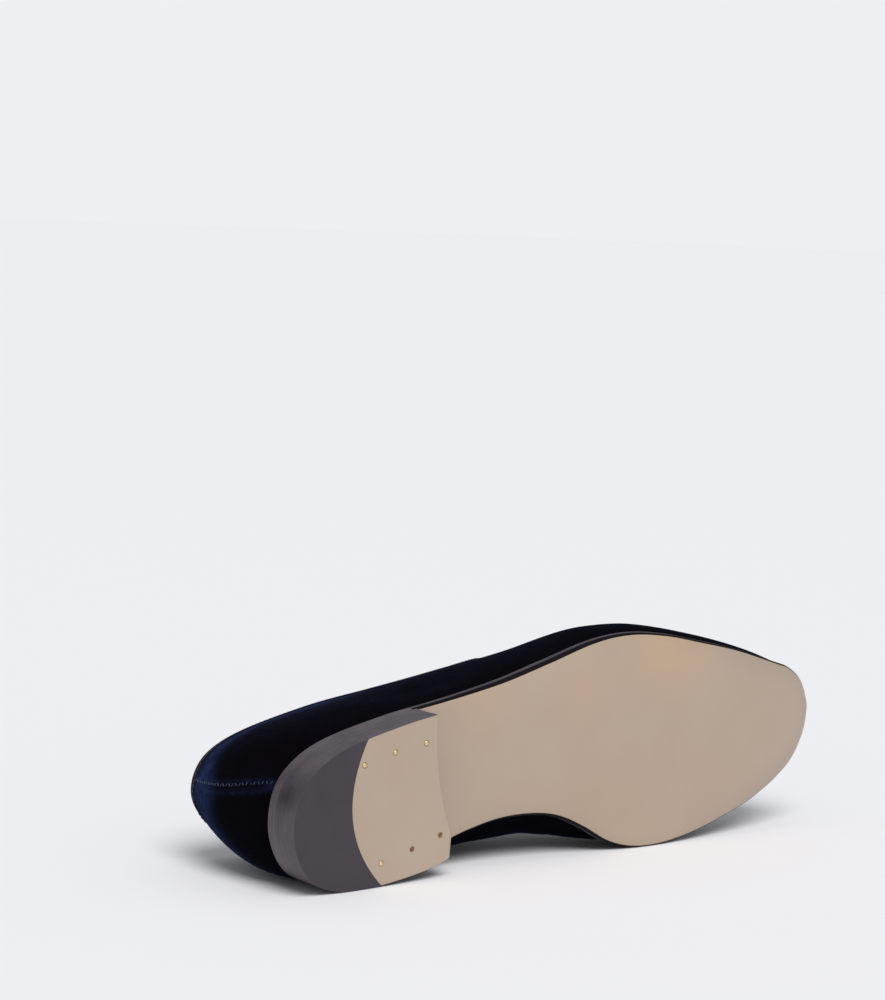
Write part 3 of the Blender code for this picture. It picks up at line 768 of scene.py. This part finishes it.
# Back seam, on the outer side of the heel: a curve through these places
backSeam = {
    "places": [
        (0.0045, -0.0180, 0.0180),
        (0.0020, -0.0150, 0.0300),
        (0.0005, -0.0115, 0.0450),
        (0.0030, -0.0080, 0.0620),
        (0.0065, -0.0055, 0.0760),
    ],
    "grooveWidth": 0.0008,
    "grooveDepth": 0.0008,
    "ridgeWidth": 0.0024,
    "ridgeHeight": 0.0005,
    "stitchAside": 0.0011,
    "stitchStep": 0.0021,
    "stitchLength": 0.0014,
    "stitchSlant": 1.60,
    "stitchRadius": 0.00017,
    "stitchLift": 0.00006,
    # painted sheen fanning out beside the seam, partly brushed nap
    "napAndSheen": (0.22, 0.0020, 0.0010),  # strength, beside the seam, half width
}
seamCurve = curveThrough(backSeam["places"], 40)
# Soft troughs (negative) and ridges of the velvet: from, to, half width, height
upperFolds = [
    ((0.020, 0.030, 0.040), (0.012, 0.024, 0.070), 0.0050, 0.0004),
    ((0.100, -0.034, 0.026), (0.128, -0.031, 0.050), 0.0070, -0.0007),
    ((0.078, -0.033, 0.040), (0.112, -0.032, 0.030), 0.0060, -0.0005),
    ((0.110, 0.036, 0.024), (0.138, 0.040, 0.046), 0.0070, -0.0007),
    ((0.186, -0.036, 0.020), (0.176, -0.010, 0.062), 0.0050, -0.0005),
    ((0.176, -0.010, 0.062), (0.182, 0.040, 0.050), 0.0050, -0.0005),
    ((0.198, -0.034, 0.018), (0.190, -0.004, 0.055), 0.0045, 0.0004),
    ((0.212, -0.026, 0.018), (0.204, 0.004, 0.047), 0.0045, -0.0004),
    ((0.204, 0.004, 0.047), (0.206, 0.046, 0.036), 0.0045, -0.0004),
]


def distanceToSegment(points, start, end):
    start, end = np.array(start), np.array(end)
    run = end - start
    share = np.clip(((points - start) @ run) / (run @ run), 0.0, 1.0)
    return np.linalg.norm(points - start - share[:, None] * run, axis=1), share


def distanceToCurve(points, curve):
    nearest = np.full(len(points), np.inf)
    for start, end in zip(curve, curve[1:]):
        nearest = np.minimum(nearest, distanceToSegment(points, start, end)[0])
    return nearest


def bell(distance, width):
    return np.exp(-((distance / width) ** 2))


def velvetRelief(points, spots):
    # how far the velvet stands out from the last at each point
    levels = np.array([spot[2] for spot in spots])
    relief = np.zeros(len(points))
    aside = distanceToCurve(points, seamCurve)
    relief += backSeam["ridgeHeight"] * bell(aside, backSeam["ridgeWidth"])
    relief -= backSeam["grooveDepth"] * bell(aside, backSeam["grooveWidth"])
    for start, end, width, height in upperFolds:
        distance, share = distanceToSegment(points, start, end)
        fade = 0.35 + 0.65 * np.sin(math.pi * np.clip(share, 0.04, 0.96))
        relief += height * bell(distance, width) * fade
    tuck = np.clip(1.0 - levels * upper["wallLevels"] / 2.0, 0.0, 1.0)
    relief -= upper["tuck"] * tuck**2  # the velvet turns in where it meets the sole
    return relief


def napAndSheenPatches(points, spots):
    # where the velvet is painted lighter: painted sheen along the rims and fanning from the back seam, partly
    # brushed nap
    # lighter spots near the back tip: painted sheen, partly brushed nap
    patches = [
        # place, radius, strength
        ((0.004, -0.006, 0.071), 0.009, 0.50),
        ((0.001, -0.010, 0.060), 0.006, 0.25),
        ((0.060, -0.026, 0.058), 0.010, 0.20),
    ]
    # bands of painted sheen along the topline rim and the lower rim of the heel
    bands = [
        # side, first way, last way, level, half width, strength
        (-1.0, 0.00, 0.34, 0.88, 0.09, 0.62),
        (-1.0, 0.10, 0.55, 0.97, 0.06, 0.30),
        (1.0, 0.00, 0.28, 0.64, 0.30, 0.85),
    ]
    sides, ways, levels = (np.array([spot[column] for spot in spots]) for column in range(3))
    strength, beside, width = backSeam["napAndSheen"]
    napAndSheen = strength * bell(distanceToCurve(points, seamCurve) - beside, width)
    aroundBack = smoothStep(ways / 0.09)  # 0 at the middle of the heel's back, where both sides meet
    for side, first, last, level, width, strength in bands:
        fade = smoothStep((ways - first + 0.05) / 0.05) * smoothStep((last - ways) / 0.12)
        if first == 0.0:
            level, width = 0.80 + (level - 0.80) * aroundBack, 0.16 + (width - 0.16) * aroundBack
            fade = fade * (0.62 + (strength - 0.62) * aroundBack) / strength
        napAndSheen += np.where(sides == side, strength * fade * bell(levels - level, width), 0.0)
    for place, radius, strength in patches:
        napAndSheen += strength * bell(np.linalg.norm(points - np.array(place), axis=1), radius)
    return np.clip(napAndSheen, 0.0, 1.0)


def makeUpper():
    points, spots, faces, edge = upperSurface()
    normals = normalsOf(points, faces)
    shaped = points + normals * velvetRelief(points, spots)[:, None]
    inner = shaped - normals * shoe["wall"]
    count = len(shaped)
    faces = [list(face) for face in faces]
    lining = [[at + count for at in reversed(face)] for face in faces]
    rim = openEdges(faces)
    walls = [[end, start, start + count, end + count] for start, end in rim]
    slots = [0] * len(faces) + [1] * len(lining) + [0] * len(walls)
    looks = [finish["navyVelvet"], finish["blackLining"]]
    both = np.concatenate([shaped, inner])
    piece = layPiece("velvetUpper", both, faces + lining + walls, looks, slots, 60.0)
    napAndSheen = napAndSheenPatches(shaped, spots)
    setPointValue(piece, "napAndSheen", np.concatenate([napAndSheen, np.zeros(count)]))
    settle(piece, "velvet", "upper")
    return shaped, inner, normals, edge


def openEdges(faces):
    # directed edges that only one face uses
    used = set()
    for face in faces:
        for start, end in zip(face, face[1:] + face[:1]):
            used.add((start, end))
    return [(start, end) for start, end in used if (end, start) not in used]


upperOuter, upperInner, upperNormals, freeEdge = makeUpper()
print("upper made:", len(upperOuter), "points a face")

# Binding: ribbon folded over topline and tongue
binding = {
    "thickness": 0.0004,
    "height": 0.0042,
    "lap": 0.0010,
    "roundRows": 7,
    "legRows": 4,
    "ringStep": 0.0011,
    "smoothings": 6,
    "stitchEvery": 2,  # rings
    "stitchLength": 0.0016,
    "stitchRadius": 0.00018,
    "stitchLift": 0.00003,
    "stitchLow": 0.35,  # of the lap
}


def softened(rows):
    return 0.5 * rows + 0.25 * (np.roll(rows, 1, axis=0) + np.roll(rows, -1, axis=0))


def edgeFrames():
    # middle of the free edge with the directions through the wall and up, evenly spaced and smoothed
    outer, inner = upperOuter[freeEdge], upperInner[freeEdge]
    middle = 0.5 * (outer + inner)
    across = unitRows(inner - outer)
    closed = np.vstack([middle, middle[:1]])
    run = runOf(closed)
    count = int(run[-1] / binding["ringStep"])
    wanted = np.linspace(0.0, run[-1], count, endpoint=False)
    middle = placesAt(wanted, run, closed)
    across = placesAt(wanted, run, np.vstack([across, across[:1]]))
    for _ in range(binding["smoothings"]):
        middle, across = softened(middle), softened(across)
    along = unitRows(np.roll(middle, -1, axis=0) - np.roll(middle, 1, axis=0))
    across = unitRows(across - along * (across * along).sum(axis=1)[:, None])
    return middle, across, np.cross(along, across), along


def ribbonProfile():
    # outer leg, round fold and inner leg: places aside and up
    half = 0.5 * shoe["wall"] + binding["thickness"]
    top = binding["height"] - half
    foot, legRows = -binding["lap"], binding["legRows"]
    rows = [(-half, foot + (top - foot) * row / legRows) for row in range(legRows)]
    for row in range(binding["roundRows"] + 1):
        angle = math.pi * row / binding["roundRows"]
        rows.append((-half * math.cos(angle), top + half * math.sin(angle)))
    rows += [(half, top - (top - foot) * row / legRows) for row in range(1, legRows + 1)]
    inside, under = 0.25 * shoe["wall"], top - binding["thickness"]
    return rows + [(inside, foot), (inside, under), (-inside, under), (-inside, foot)]


def makeBinding():
    middle, across, upward, along = edgeFrames()
    profile = ribbonProfile()
    size, count = len(profile), len(middle)
    points = []
    for at in range(count):
        for aside, up in profile:
            points.append(middle[at] + across[at] * aside + upward[at] * up)
    faces = []
    for at in range(count):
        after = (at + 1) % count
        for step in range(size):
            further = (step + 1) % size
            faces.append((at * size + step, at * size + further, after * size + further, after * size + step))
    piece = layPiece("toplineRibbon", points, faces, [finish["grosgrain"]], None, 50.0)
    coordinates = piece.data.uv_layers.new(name="ribbon")
    for polygon in piece.data.polygons:
        ring = polygon.index // size
        for corner in polygon.loop_indices:
            at, step = divmod(piece.data.loops[corner].vertex_index, size)
            place = at if at >= ring else at + count
            coordinates.data[corner].uv = (place * binding["ringStep"] * 1000.0, step / size)
    settle(piece, "grosgrain", "topline_binding")
    return middle, across, upward, along


ribbonFrames = makeBinding()
print("binding made")


# Stitches are short rounded rods, joined in one mesh for each row
def stitchMesh(name, stitches, radius, slot):
    points, faces = [], []
    rings = [(-1.0, 0.35), (-0.75, 0.9), (0.0, 1.0), (0.75, 0.9), (1.0, 0.35)]
    sides = 6
    for middle, along, outward, length in stitches:
        aside = np.cross(along, outward)
        faces += closedFaces(len(points), len(rings), sides)
        for place, width in rings:
            centre = middle + along * place * 0.5 * length
            points += ringAround(centre, aside, outward, radius * width, sides)
    piece = layPiece(name, points, faces, [finish["navyThread"]])
    return settle(piece, slot)


def nearestOnUpper(point):
    at = int(np.argmin(np.linalg.norm(upperOuter - point, axis=1)))
    normal = upperNormals[at]
    lifted = point - normal * float((point - upperOuter[at]) @ normal)
    return lifted, normal


def makeSeamStitches():
    seam = curveThrough(backSeam["places"], 200)
    run = runOf(seam)
    count = int(run[-1] / backSeam["stitchStep"])
    stitches = []
    for number in range(count):
        place = (number + 0.5) * backSeam["stitchStep"]
        here, ahead = placesAt(np.array([place, place + 0.001]), run, seam)
        along = (ahead - here) / np.linalg.norm(ahead - here)
        onto, normal = nearestOnUpper(here)
        aside = np.cross(along, normal)
        spot, outward = nearestOnUpper(onto + aside * backSeam["stitchAside"])
        slant = backSeam["stitchSlant"] if number % 2 else -backSeam["stitchSlant"]
        tilted = along + aside * slant
        tilted -= outward * float(tilted @ outward)
        tilted /= np.linalg.norm(tilted)
        spot = spot + outward * backSeam["stitchLift"]
        stitches.append((spot, tilted, outward, backSeam["stitchLength"]))
    return stitchMesh("seamStitches", stitches, backSeam["stitchRadius"], "velvet")


def makeToplineStitches():
    # one row of stitches through the ribbon, near its lower edge
    middle, across, upward, along = ribbonFrames
    face = 0.5 * shoe["wall"] + binding["thickness"] + binding["stitchLift"]
    stitches = []
    for at in range(0, len(middle), binding["stitchEvery"]):
        spot = middle[at] - across[at] * face - upward[at] * (binding["stitchLow"] * binding["lap"])
        stitches.append((spot, along[at], -across[at], binding["stitchLength"]))
    return stitchMesh("toplineStitches", stitches, binding["stitchRadius"], "grosgrain")


makeSeamStitches()
makeToplineStitches()
print("stitches made")

# Outsole: closed edge rings from tread to upper side, and domed caps
outsole = {
    "edgePoints": 170,
    "rungs": 22,
    "dome": 0.0006,
    "inkRing": 1,
    # rings from here up carry the painted highlight line of the edge
    "litRing": 4,
    "flushBelow": 0.70,  # of the thickness
    "openRun": 0.008,
    "stackEnd": 0.002,
    # painted shade: greyer along the toe's edge and just ahead of the heel's breast
    "toeShade": (0.19, 0.08, 0.55, 0.007),  # start, run, strength, half width
    "breastShade": (0.85, 0.004),  # strength, half width
    "warmPlaces": [
        # place, radius, strength
        ((0.197, -0.027), 0.013, 0.55),
        ((0.212, -0.018), 0.014, 0.35),
        ((0.226, -0.021), 0.010, 0.40),
        ((0.158, -0.020), 0.012, 0.30),
        ((0.109, -0.026), 0.012, 0.25),
        ((0.048, -0.002), 0.016, 0.12),
    ],
}
soleSide = [
    # height, in from the edge at the forepart, and at the waist (all of the thickness)
    (0.00, 0.240, 0.420),
    (0.03, 0.160, 0.300),
    (0.14, 0.045, 0.110),
    (0.28, 0.000, 0.040),
    (0.42, 0.000, 0.020),
    (0.50, 0.060, 0.060),
    (0.56, 0.080, 0.050),
    (0.64, 0.020, 0.000),
    (0.76, 0.000, 0.000),
    (0.88, 0.045, 0.020),
    (0.96, 0.130, 0.110),
    (1.00, 0.260, 0.220),
]


def closedEdge(margin, count):
    halves = []
    for inner in (False, True):
        half = halfEdge(inner, count)
        amount = np.array([margin(along) for along in half[:, 0]])[:, None]
        halves.append(half + wayInward(half, inner) * amount)
    return np.concatenate([halves[0], halves[1][-2:0:-1]])


def waistShare(along):
    middle = 0.5 * (shoe["heelLength"] + shoe["flatStart"])
    half = 0.5 * (shoe["flatStart"] - shoe["heelLength"])
    return 1.0 - smoothStep(abs(along - middle) / half)


def openShare(along):
    # 0 over the heel, where the edge runs on flush into the lifts
    return smoothStep((along - shoe["heelLength"]) / outsole["openRun"] + 0.5)


def stackedPlate(rings, rungs, lowHeight, highHeight):
    # closed plate from rings, capped by rungs across; also gives the number of side faces
    size = len(rings[0])
    half = size // 2
    points = [point for ring in rings for point in ring]
    faces = [face[::-1] for face in bandFaces(0, len(rings), size)]
    sideFaces = len(faces)
    for ringStart, height, turned in ((0, lowHeight, True), ((len(rings) - 1) * size, highHeight, False)):
        rows = []
        for at in range(1, half):
            outer, inner = ringStart + at, ringStart + size - at
            row = [outer]
            for step in range(1, rungs):
                share = step / rungs
                start, end = np.array(points[outer]), np.array(points[inner])
                point = start + (end - start) * share
                point[2] = height(point[0], start, share)
                row.append(len(points))
                points.append(point)
            rows.append(row + [inner])
        cap = [[ringStart] + rows[0], [ringStart + half] + rows[-1][::-1]]
        for near, far in zip(rows, rows[1:]):
            cap += [[near[step], near[step + 1], far[step + 1], far[step]] for step in range(rungs)]
        faces += [list(face)[::-1] for face in cap] if turned else [list(face) for face in cap]
    return points, faces, sideFaces


def alignFaces(piece):
    # turns the faces of a closed piece outwards
    cage = bmesh.new()
    cage.from_mesh(piece.data)
    bmesh.ops.recalc_face_normals(cage, faces=cage.faces[:])
    cage.to_mesh(piece.data)
    cage.free()


def makeOutsole():
    rings = []
    thickness = shoe["soleThickness"]
    for height, forepart, waist in soleSide:
        flush = height < outsole["flushBelow"]

        def inFromEdge(along):
            share = forepart + (waist - forepart) * waistShare(along)
            return thickness * share * (openShare(along) if flush else 1.0)

        edge = closedEdge(inFromEdge, outsole["edgePoints"])
        rings.append([(x, y, soleBottom(x) + height * thickness) for x, y in edge])

    def domed(along, start, share):
        low = start[2] - soleBottom(start[0])
        return soleBottom(along) + low - outsole["dome"] * (1.0 - (2.0 * share - 1.0) ** 4)

    points, faces, sideFaces = stackedPlate(rings, outsole["rungs"], domed, lambda along, *_: soleTop(along))
    ringFaces = len(rings[0])
    # tan leather 0, ink 1, a lighter edge with a painted highlight 2, and over the heel the look of its stack
    # 3
    looks = [finish[name] for name in ("tanSoleLeather", "edgeInk", "highlitEdge", "stackLeather")]
    treadFaces = (len(faces) - sideFaces) // 2
    slots = [1] * len(faces)
    for at in range(sideFaces):
        ring = at // ringFaces
        if points[at % ringFaces][0] < shoe["heelLength"] - outsole["stackEnd"]:
            slots[at] = 3
        elif ring < outsole["inkRing"]:
            slots[at] = 0
        elif ring >= outsole["litRing"]:
            slots[at] = 2
    slots[sideFaces:sideFaces + treadFaces] = [0] * treadFaces
    piece = layPiece("leatherOutsole", points, faces, looks, slots, 50.0)
    alignFaces(piece)
    shadeSole(piece, points)
    return settle(piece, "sole_leather", "outsole")


def shadeSole(piece, points):
    # warm patches in the tan leather's own tone, and painted shade: greyer towards the edge of the toe and
    # the heel's breast
    spots = np.array(points)
    edge = np.concatenate([halfEdge(inner, 160) for inner in (False, True)])
    aside = np.array([np.min(np.linalg.norm(edge - spot, axis=1)) for spot in spots[:, :2]])
    warm = np.zeros(len(spots))
    for place, radius, strength in outsole["warmPlaces"]:
        warm += strength * bell(np.linalg.norm(spots[:, :2] - np.array(place), axis=1), radius)
    start, run, strength, width = outsole["toeShade"]
    soleShade = strength * smoothStep((spots[:, 0] - start) / run) * bell(aside, width)
    strength, width = outsole["breastShade"]
    ahead = spots[:, 0] - breastAlong(spots[:, 1])
    soleShade += strength * bell(np.maximum(ahead, 0.0), width)
    setPointValue(piece, "warm", np.clip(warm, 0.0, 1.0))
    setPointValue(piece, "soleShade", np.clip(soleShade, 0.0, 1.0))


insole = {
    "inset": 0.0009,
    "side": [(0.0, 0.0), (0.0, 0.0014), (0.0003, 0.0018), (0.0010, 0.0020)],  # further in, height
    "dip": 0.0004,
}


def makeInsole():
    inset = shoe["wall"] + insole["inset"]
    top = shoe["gap"] + insole["side"][-1][1]
    rings = []
    for extra, height in insole["side"]:
        edge = closedEdge(lambda along: upperMargin(along) + inset + extra, outsole["edgePoints"])
        rings.append([(x, y, soleTop(x) + shoe["gap"] + height) for x, y in edge])

    def low(along, start, share):
        return soleTop(along) + shoe["gap"]

    def dipped(along, start, share):
        return soleTop(along) + top - insole["dip"] * math.sin(math.pi * share)

    points, faces, _ = stackedPlate(rings, outsole["rungs"], low, dipped)
    piece = layPiece("leatherInsole", points, faces, [finish["blackLining"]], None, 50.0)
    alignFaces(piece)
    return settle(piece, "lining_leather", "insole")


# Heel: three leather lifts, and a top piece of rubber and leather
heel = {
    "halfWidth": 0.31,  # of the ball's width
    "breastBow": 0.004,
    "breastSlant": 0.08,
    "notchWidth": 0.009,
    "notchDepth": 0.0045,
    "topPiece": 0.004,
    "lifts": 3,
    "rubberLength": 0.029,
    "rubberBow": 0.011,
    "seam": 0.00004,
    "round": 0.00007,
    "planPoints": 260,
    "nailRadius": 0.0009,
    "tarnished": (4, 5),
    # a darker patch of painted shade on the heel's outer side: place, radius, strength
    "shadePlace": (0.0047, -0.0149, 0.008),
    "shadeRadius": 0.0062,
    "shadeStrength": 0.85,
}
nailPlaces = [
    # along (from rubber to breast), across (of the heel's half width)
    (0.08, -0.67), (0.46, -0.70), (0.86, -0.68), (0.15, 0.72), (0.53, 0.68), (0.88, 0.63),
]


def bowShare(across):
    return (across / (heel["halfWidth"] * shoe["ballWidth"])) ** 2


def breastAlong(across):
    return shoe["heelLength"] + heel["breastSlant"] * across + heel["breastBow"] * bowShare(across)


def rubberFront(across):
    return heel["rubberLength"] + heel["rubberBow"] * bowShare(across)


def heelPlan(back=None, front=None, inset=0.0):
    # closed outline of the heel between two cross curves
    def frontOf(across):
        return (front or breastAlong)(across) - inset

    halves = []
    for isInner in (False, True):
        half = halfEdge(isInner, 700)
        half = half + wayInward(half, isInner) * inset
        half = [tuple(point) for point in half if point[0] < frontOf(point[1])][::3]
        if back:
            half = [point for point in half if point[0] > back(point[1]) + inset]
        halves.append(half)
    outer, inner = halves
    cut = [(frontOf(across), across) for across in np.linspace(outer[-1][1], inner[-1][1], 41)]
    if front is None:
        corner = cut[-1][1]
        start = corner - heel["notchWidth"]
        cut = [point for point in cut if point[1] < start]
        cut += [(frontOf(start), start), (frontOf(corner) - heel["notchDepth"], corner)]
        inner = [point for point in inner if point[0] < cut[-1][0]]
    if back:
        rear = [(back(across) + inset, across) for across in np.linspace(inner[0][1], outer[0][1], 41)]
        return outer + cut + inner[::-1] + rear
    return outer + cut + inner[:0:-1]


def resample(plan, count):
    # the outline with a fixed number of points, corners kept close
    loop = np.array(plan + plan[:1])
    run = runOf(loop)
    return placesAt(np.linspace(0.0, run[-1], count, endpoint=False), run, loop)


def heelLayer(name, low, high, materials, slot, node, back=None, front=None):
    # one layer with finely rounded edges; its side has the last of the materials
    small = heel["round"]
    corner = [(0.0, small), (0.3 * small, 0.3 * small), (small, 0.0)]
    levels = [(low + rise, inset) for rise, inset in corner]
    levels += [(high - rise, inset) for rise, inset in corner[::-1]]
    count = heel["planPoints"]
    points = []
    for height, inset in levels:
        points += [(x, y, height) for x, y in resample(heelPlan(back, front, inset), count)]
    faces = closedFaces(0, len(levels), count)
    slots = [len(materials) - 1] * (len(faces) - 2) + [0, 0]
    piece = layPiece(name, points, faces, materials, slots, 14.0)
    alignFaces(piece)
    # painted shade: a darker patch on the heel's outer side
    away = np.linalg.norm(np.array(points) - np.array(heel["shadePlace"]), axis=1)
    setPointValue(piece, "paintedShade", heel["shadeStrength"] * bell(away, heel["shadeRadius"]))
    return settle(piece, slot, node)


def makeHeel():
    stack = finish["stackLeather"]
    pitch = (shoe["heelHeight"] - heel["topPiece"]) / heel["lifts"]
    for number in range(heel["lifts"]):
        low = heel["topPiece"] + number * pitch + heel["seam"]
        high = heel["topPiece"] + (number + 1) * pitch
        heelLayer(f"heelLift{number + 1}", low, high, [stack], "heel_leather", f"heel_lift_{number + 1}")
    high = heel["topPiece"]
    looks = [finish["heelRubber"], stack]
    heelLayer("rubberTopPiece", 0.0, high, looks, "heel_rubber", "top_piece_rubber", front=rubberFront)
    looks = [finish["tanSoleLeather"], stack]
    leatherBack = (lambda across: rubberFront(across) + heel["seam"])
    heelLayer("leatherTopPiece", 0.0, high, looks, "sole_leather", "top_piece_leather", back=leatherBack)


# The ring of painted shadow around a nail, and its domed head: share of the radius, height
nailProfile = [
    (1.45, 0.0006),
    (1.45, -0.00002),
    (1.05, -0.00002),
    (1.00, -0.00010),
    (0.90, -0.00020),
    (0.60, -0.00030),
    (0.25, -0.00034),
]


def makeNails():
    sides = 20
    for number, (share, aside) in enumerate(nailPlaces):
        across = aside * heel["halfWidth"] * shoe["ballWidth"]
        along = rubberFront(across) + share * (breastAlong(across) - rubberFront(across))
        points = []
        for width, height in nailProfile:
            centre = np.array([along, across, height])
            points += ringAround(centre, np.eye(3)[0], np.eye(3)[1], heel["nailRadius"] * width, sides)
        faces = closedFaces(0, len(nailProfile), sides)
        # the first faces make the ring of painted shadow around the head
        slots = [1 if at < 2 * sides else 0 for at in range(len(faces))]
        brass = "tarnishedBrass" if number in heel["tarnished"] else "nailBrass"
        looks = [finish[brass], finish["nailShadowRing"]]
        piece = layPiece(f"brassNail{number + 1}", points, faces, looks, slots)
        alignFaces(piece)
        settle(piece, "brass", f"heel_nail_{number + 1}")


makeOutsole()
makeInsole()
print("sole made")
makeHeel()
makeNails()
print("heel made")

# Floor, light and camera
studio = {
    "floorSize": 60.0,
    "floorColour": (0.905, 0.905, 0.925, 1.0),
    "skyColour": (0.970, 0.980, 1.0, 1.0),
    "skyStrength": 0.42,
    "backdrop": (0.856, 0.863, 0.896, 1.0),
    "sunStrength": 2.17,
    "sunAngle": 36.0,
    "sunWay": Vector((0.25, 0.55, -0.80)),
}
camera = {
    "place": Vector((-0.6312, -0.4007, -0.8684)),  # in the shoe's own frame
    "right": Vector((0.7573, 0.0715, -0.6492)),
    "forward": Vector((0.6177, 0.2443, 0.7475)),
    "sensorWidth": 36.0,
    "lens": 120.14,
}


def makeFloor():
    half = studio["floorSize"] / 2.0
    mesh = bpy.data.meshes.new("floor")
    corners = [(-half, -half, 0.0), (half, -half, 0.0), (half, half, 0.0), (-half, half, 0.0)]
    mesh.from_pydata(corners, [], [(0, 1, 2, 3)])
    look = {"Base Color": studio["floorColour"], "Roughness": 0.9, "Specular IOR Level": 0.1}
    mesh.materials.append(newMaterial("paleFloor", look)[0])
    newObject("floor", mesh)


def makeSky():
    world = bpy.data.worlds.new("studioSky")
    world.use_nodes = True
    tree = world.node_tree
    tree.nodes.clear()
    sky = {"Color": studio["skyColour"], "Strength": studio["skyStrength"]}
    light = addNode(tree, "ShaderNodeBackground", sky)
    seen = addNode(tree, "ShaderNodeBackground", {"Color": studio["backdrop"], "Strength": 1.0})
    ray = addNode(tree, "ShaderNodeLightPath")
    mix = addNode(tree, "ShaderNodeMixShader")
    out = addNode(tree, "ShaderNodeOutputWorld")
    linkAll(tree, [(ray, "Is Camera Ray", mix, 0), (light, 0, mix, 1), (seen, 0, mix, 2), (mix, 0, out, 0)])
    bpy.context.scene.world = world


def makeLight():
    sun = bpy.data.lights.new("softKey", "SUN")
    sun.energy = studio["sunStrength"]
    sun.angle = math.radians(studio["sunAngle"])
    newObject("softKey", sun).rotation_euler = studio["sunWay"].to_track_quat("-Z", "Y").to_euler()


def makeCamera():
    lens = bpy.data.cameras.new("photoView")
    lens.sensor_fit = "HORIZONTAL"
    lens.sensor_width = camera["sensorWidth"]
    lens.lens = camera["lens"]
    lens.clip_end = 100.0
    holder = newObject("photoView", lens)
    turned = lying.to_3x3()
    back = -(turned @ camera["forward"]).normalized()
    right = turned @ camera["right"]
    right = (right - back * right.dot(back)).normalized()
    frameAxes = Matrix((right, back.cross(right), back)).transposed().to_4x4()
    holder.matrix_world = Matrix.Translation(lying @ camera["place"]) @ frameAxes
    bpy.context.scene.camera = holder
    print("camera height:", round(holder.matrix_world.translation.z, 3))


makeFloor()
makeSky()
makeLight()
makeCamera()
bpy.context.scene.view_settings.view_transform = "Standard"
print("studio made")
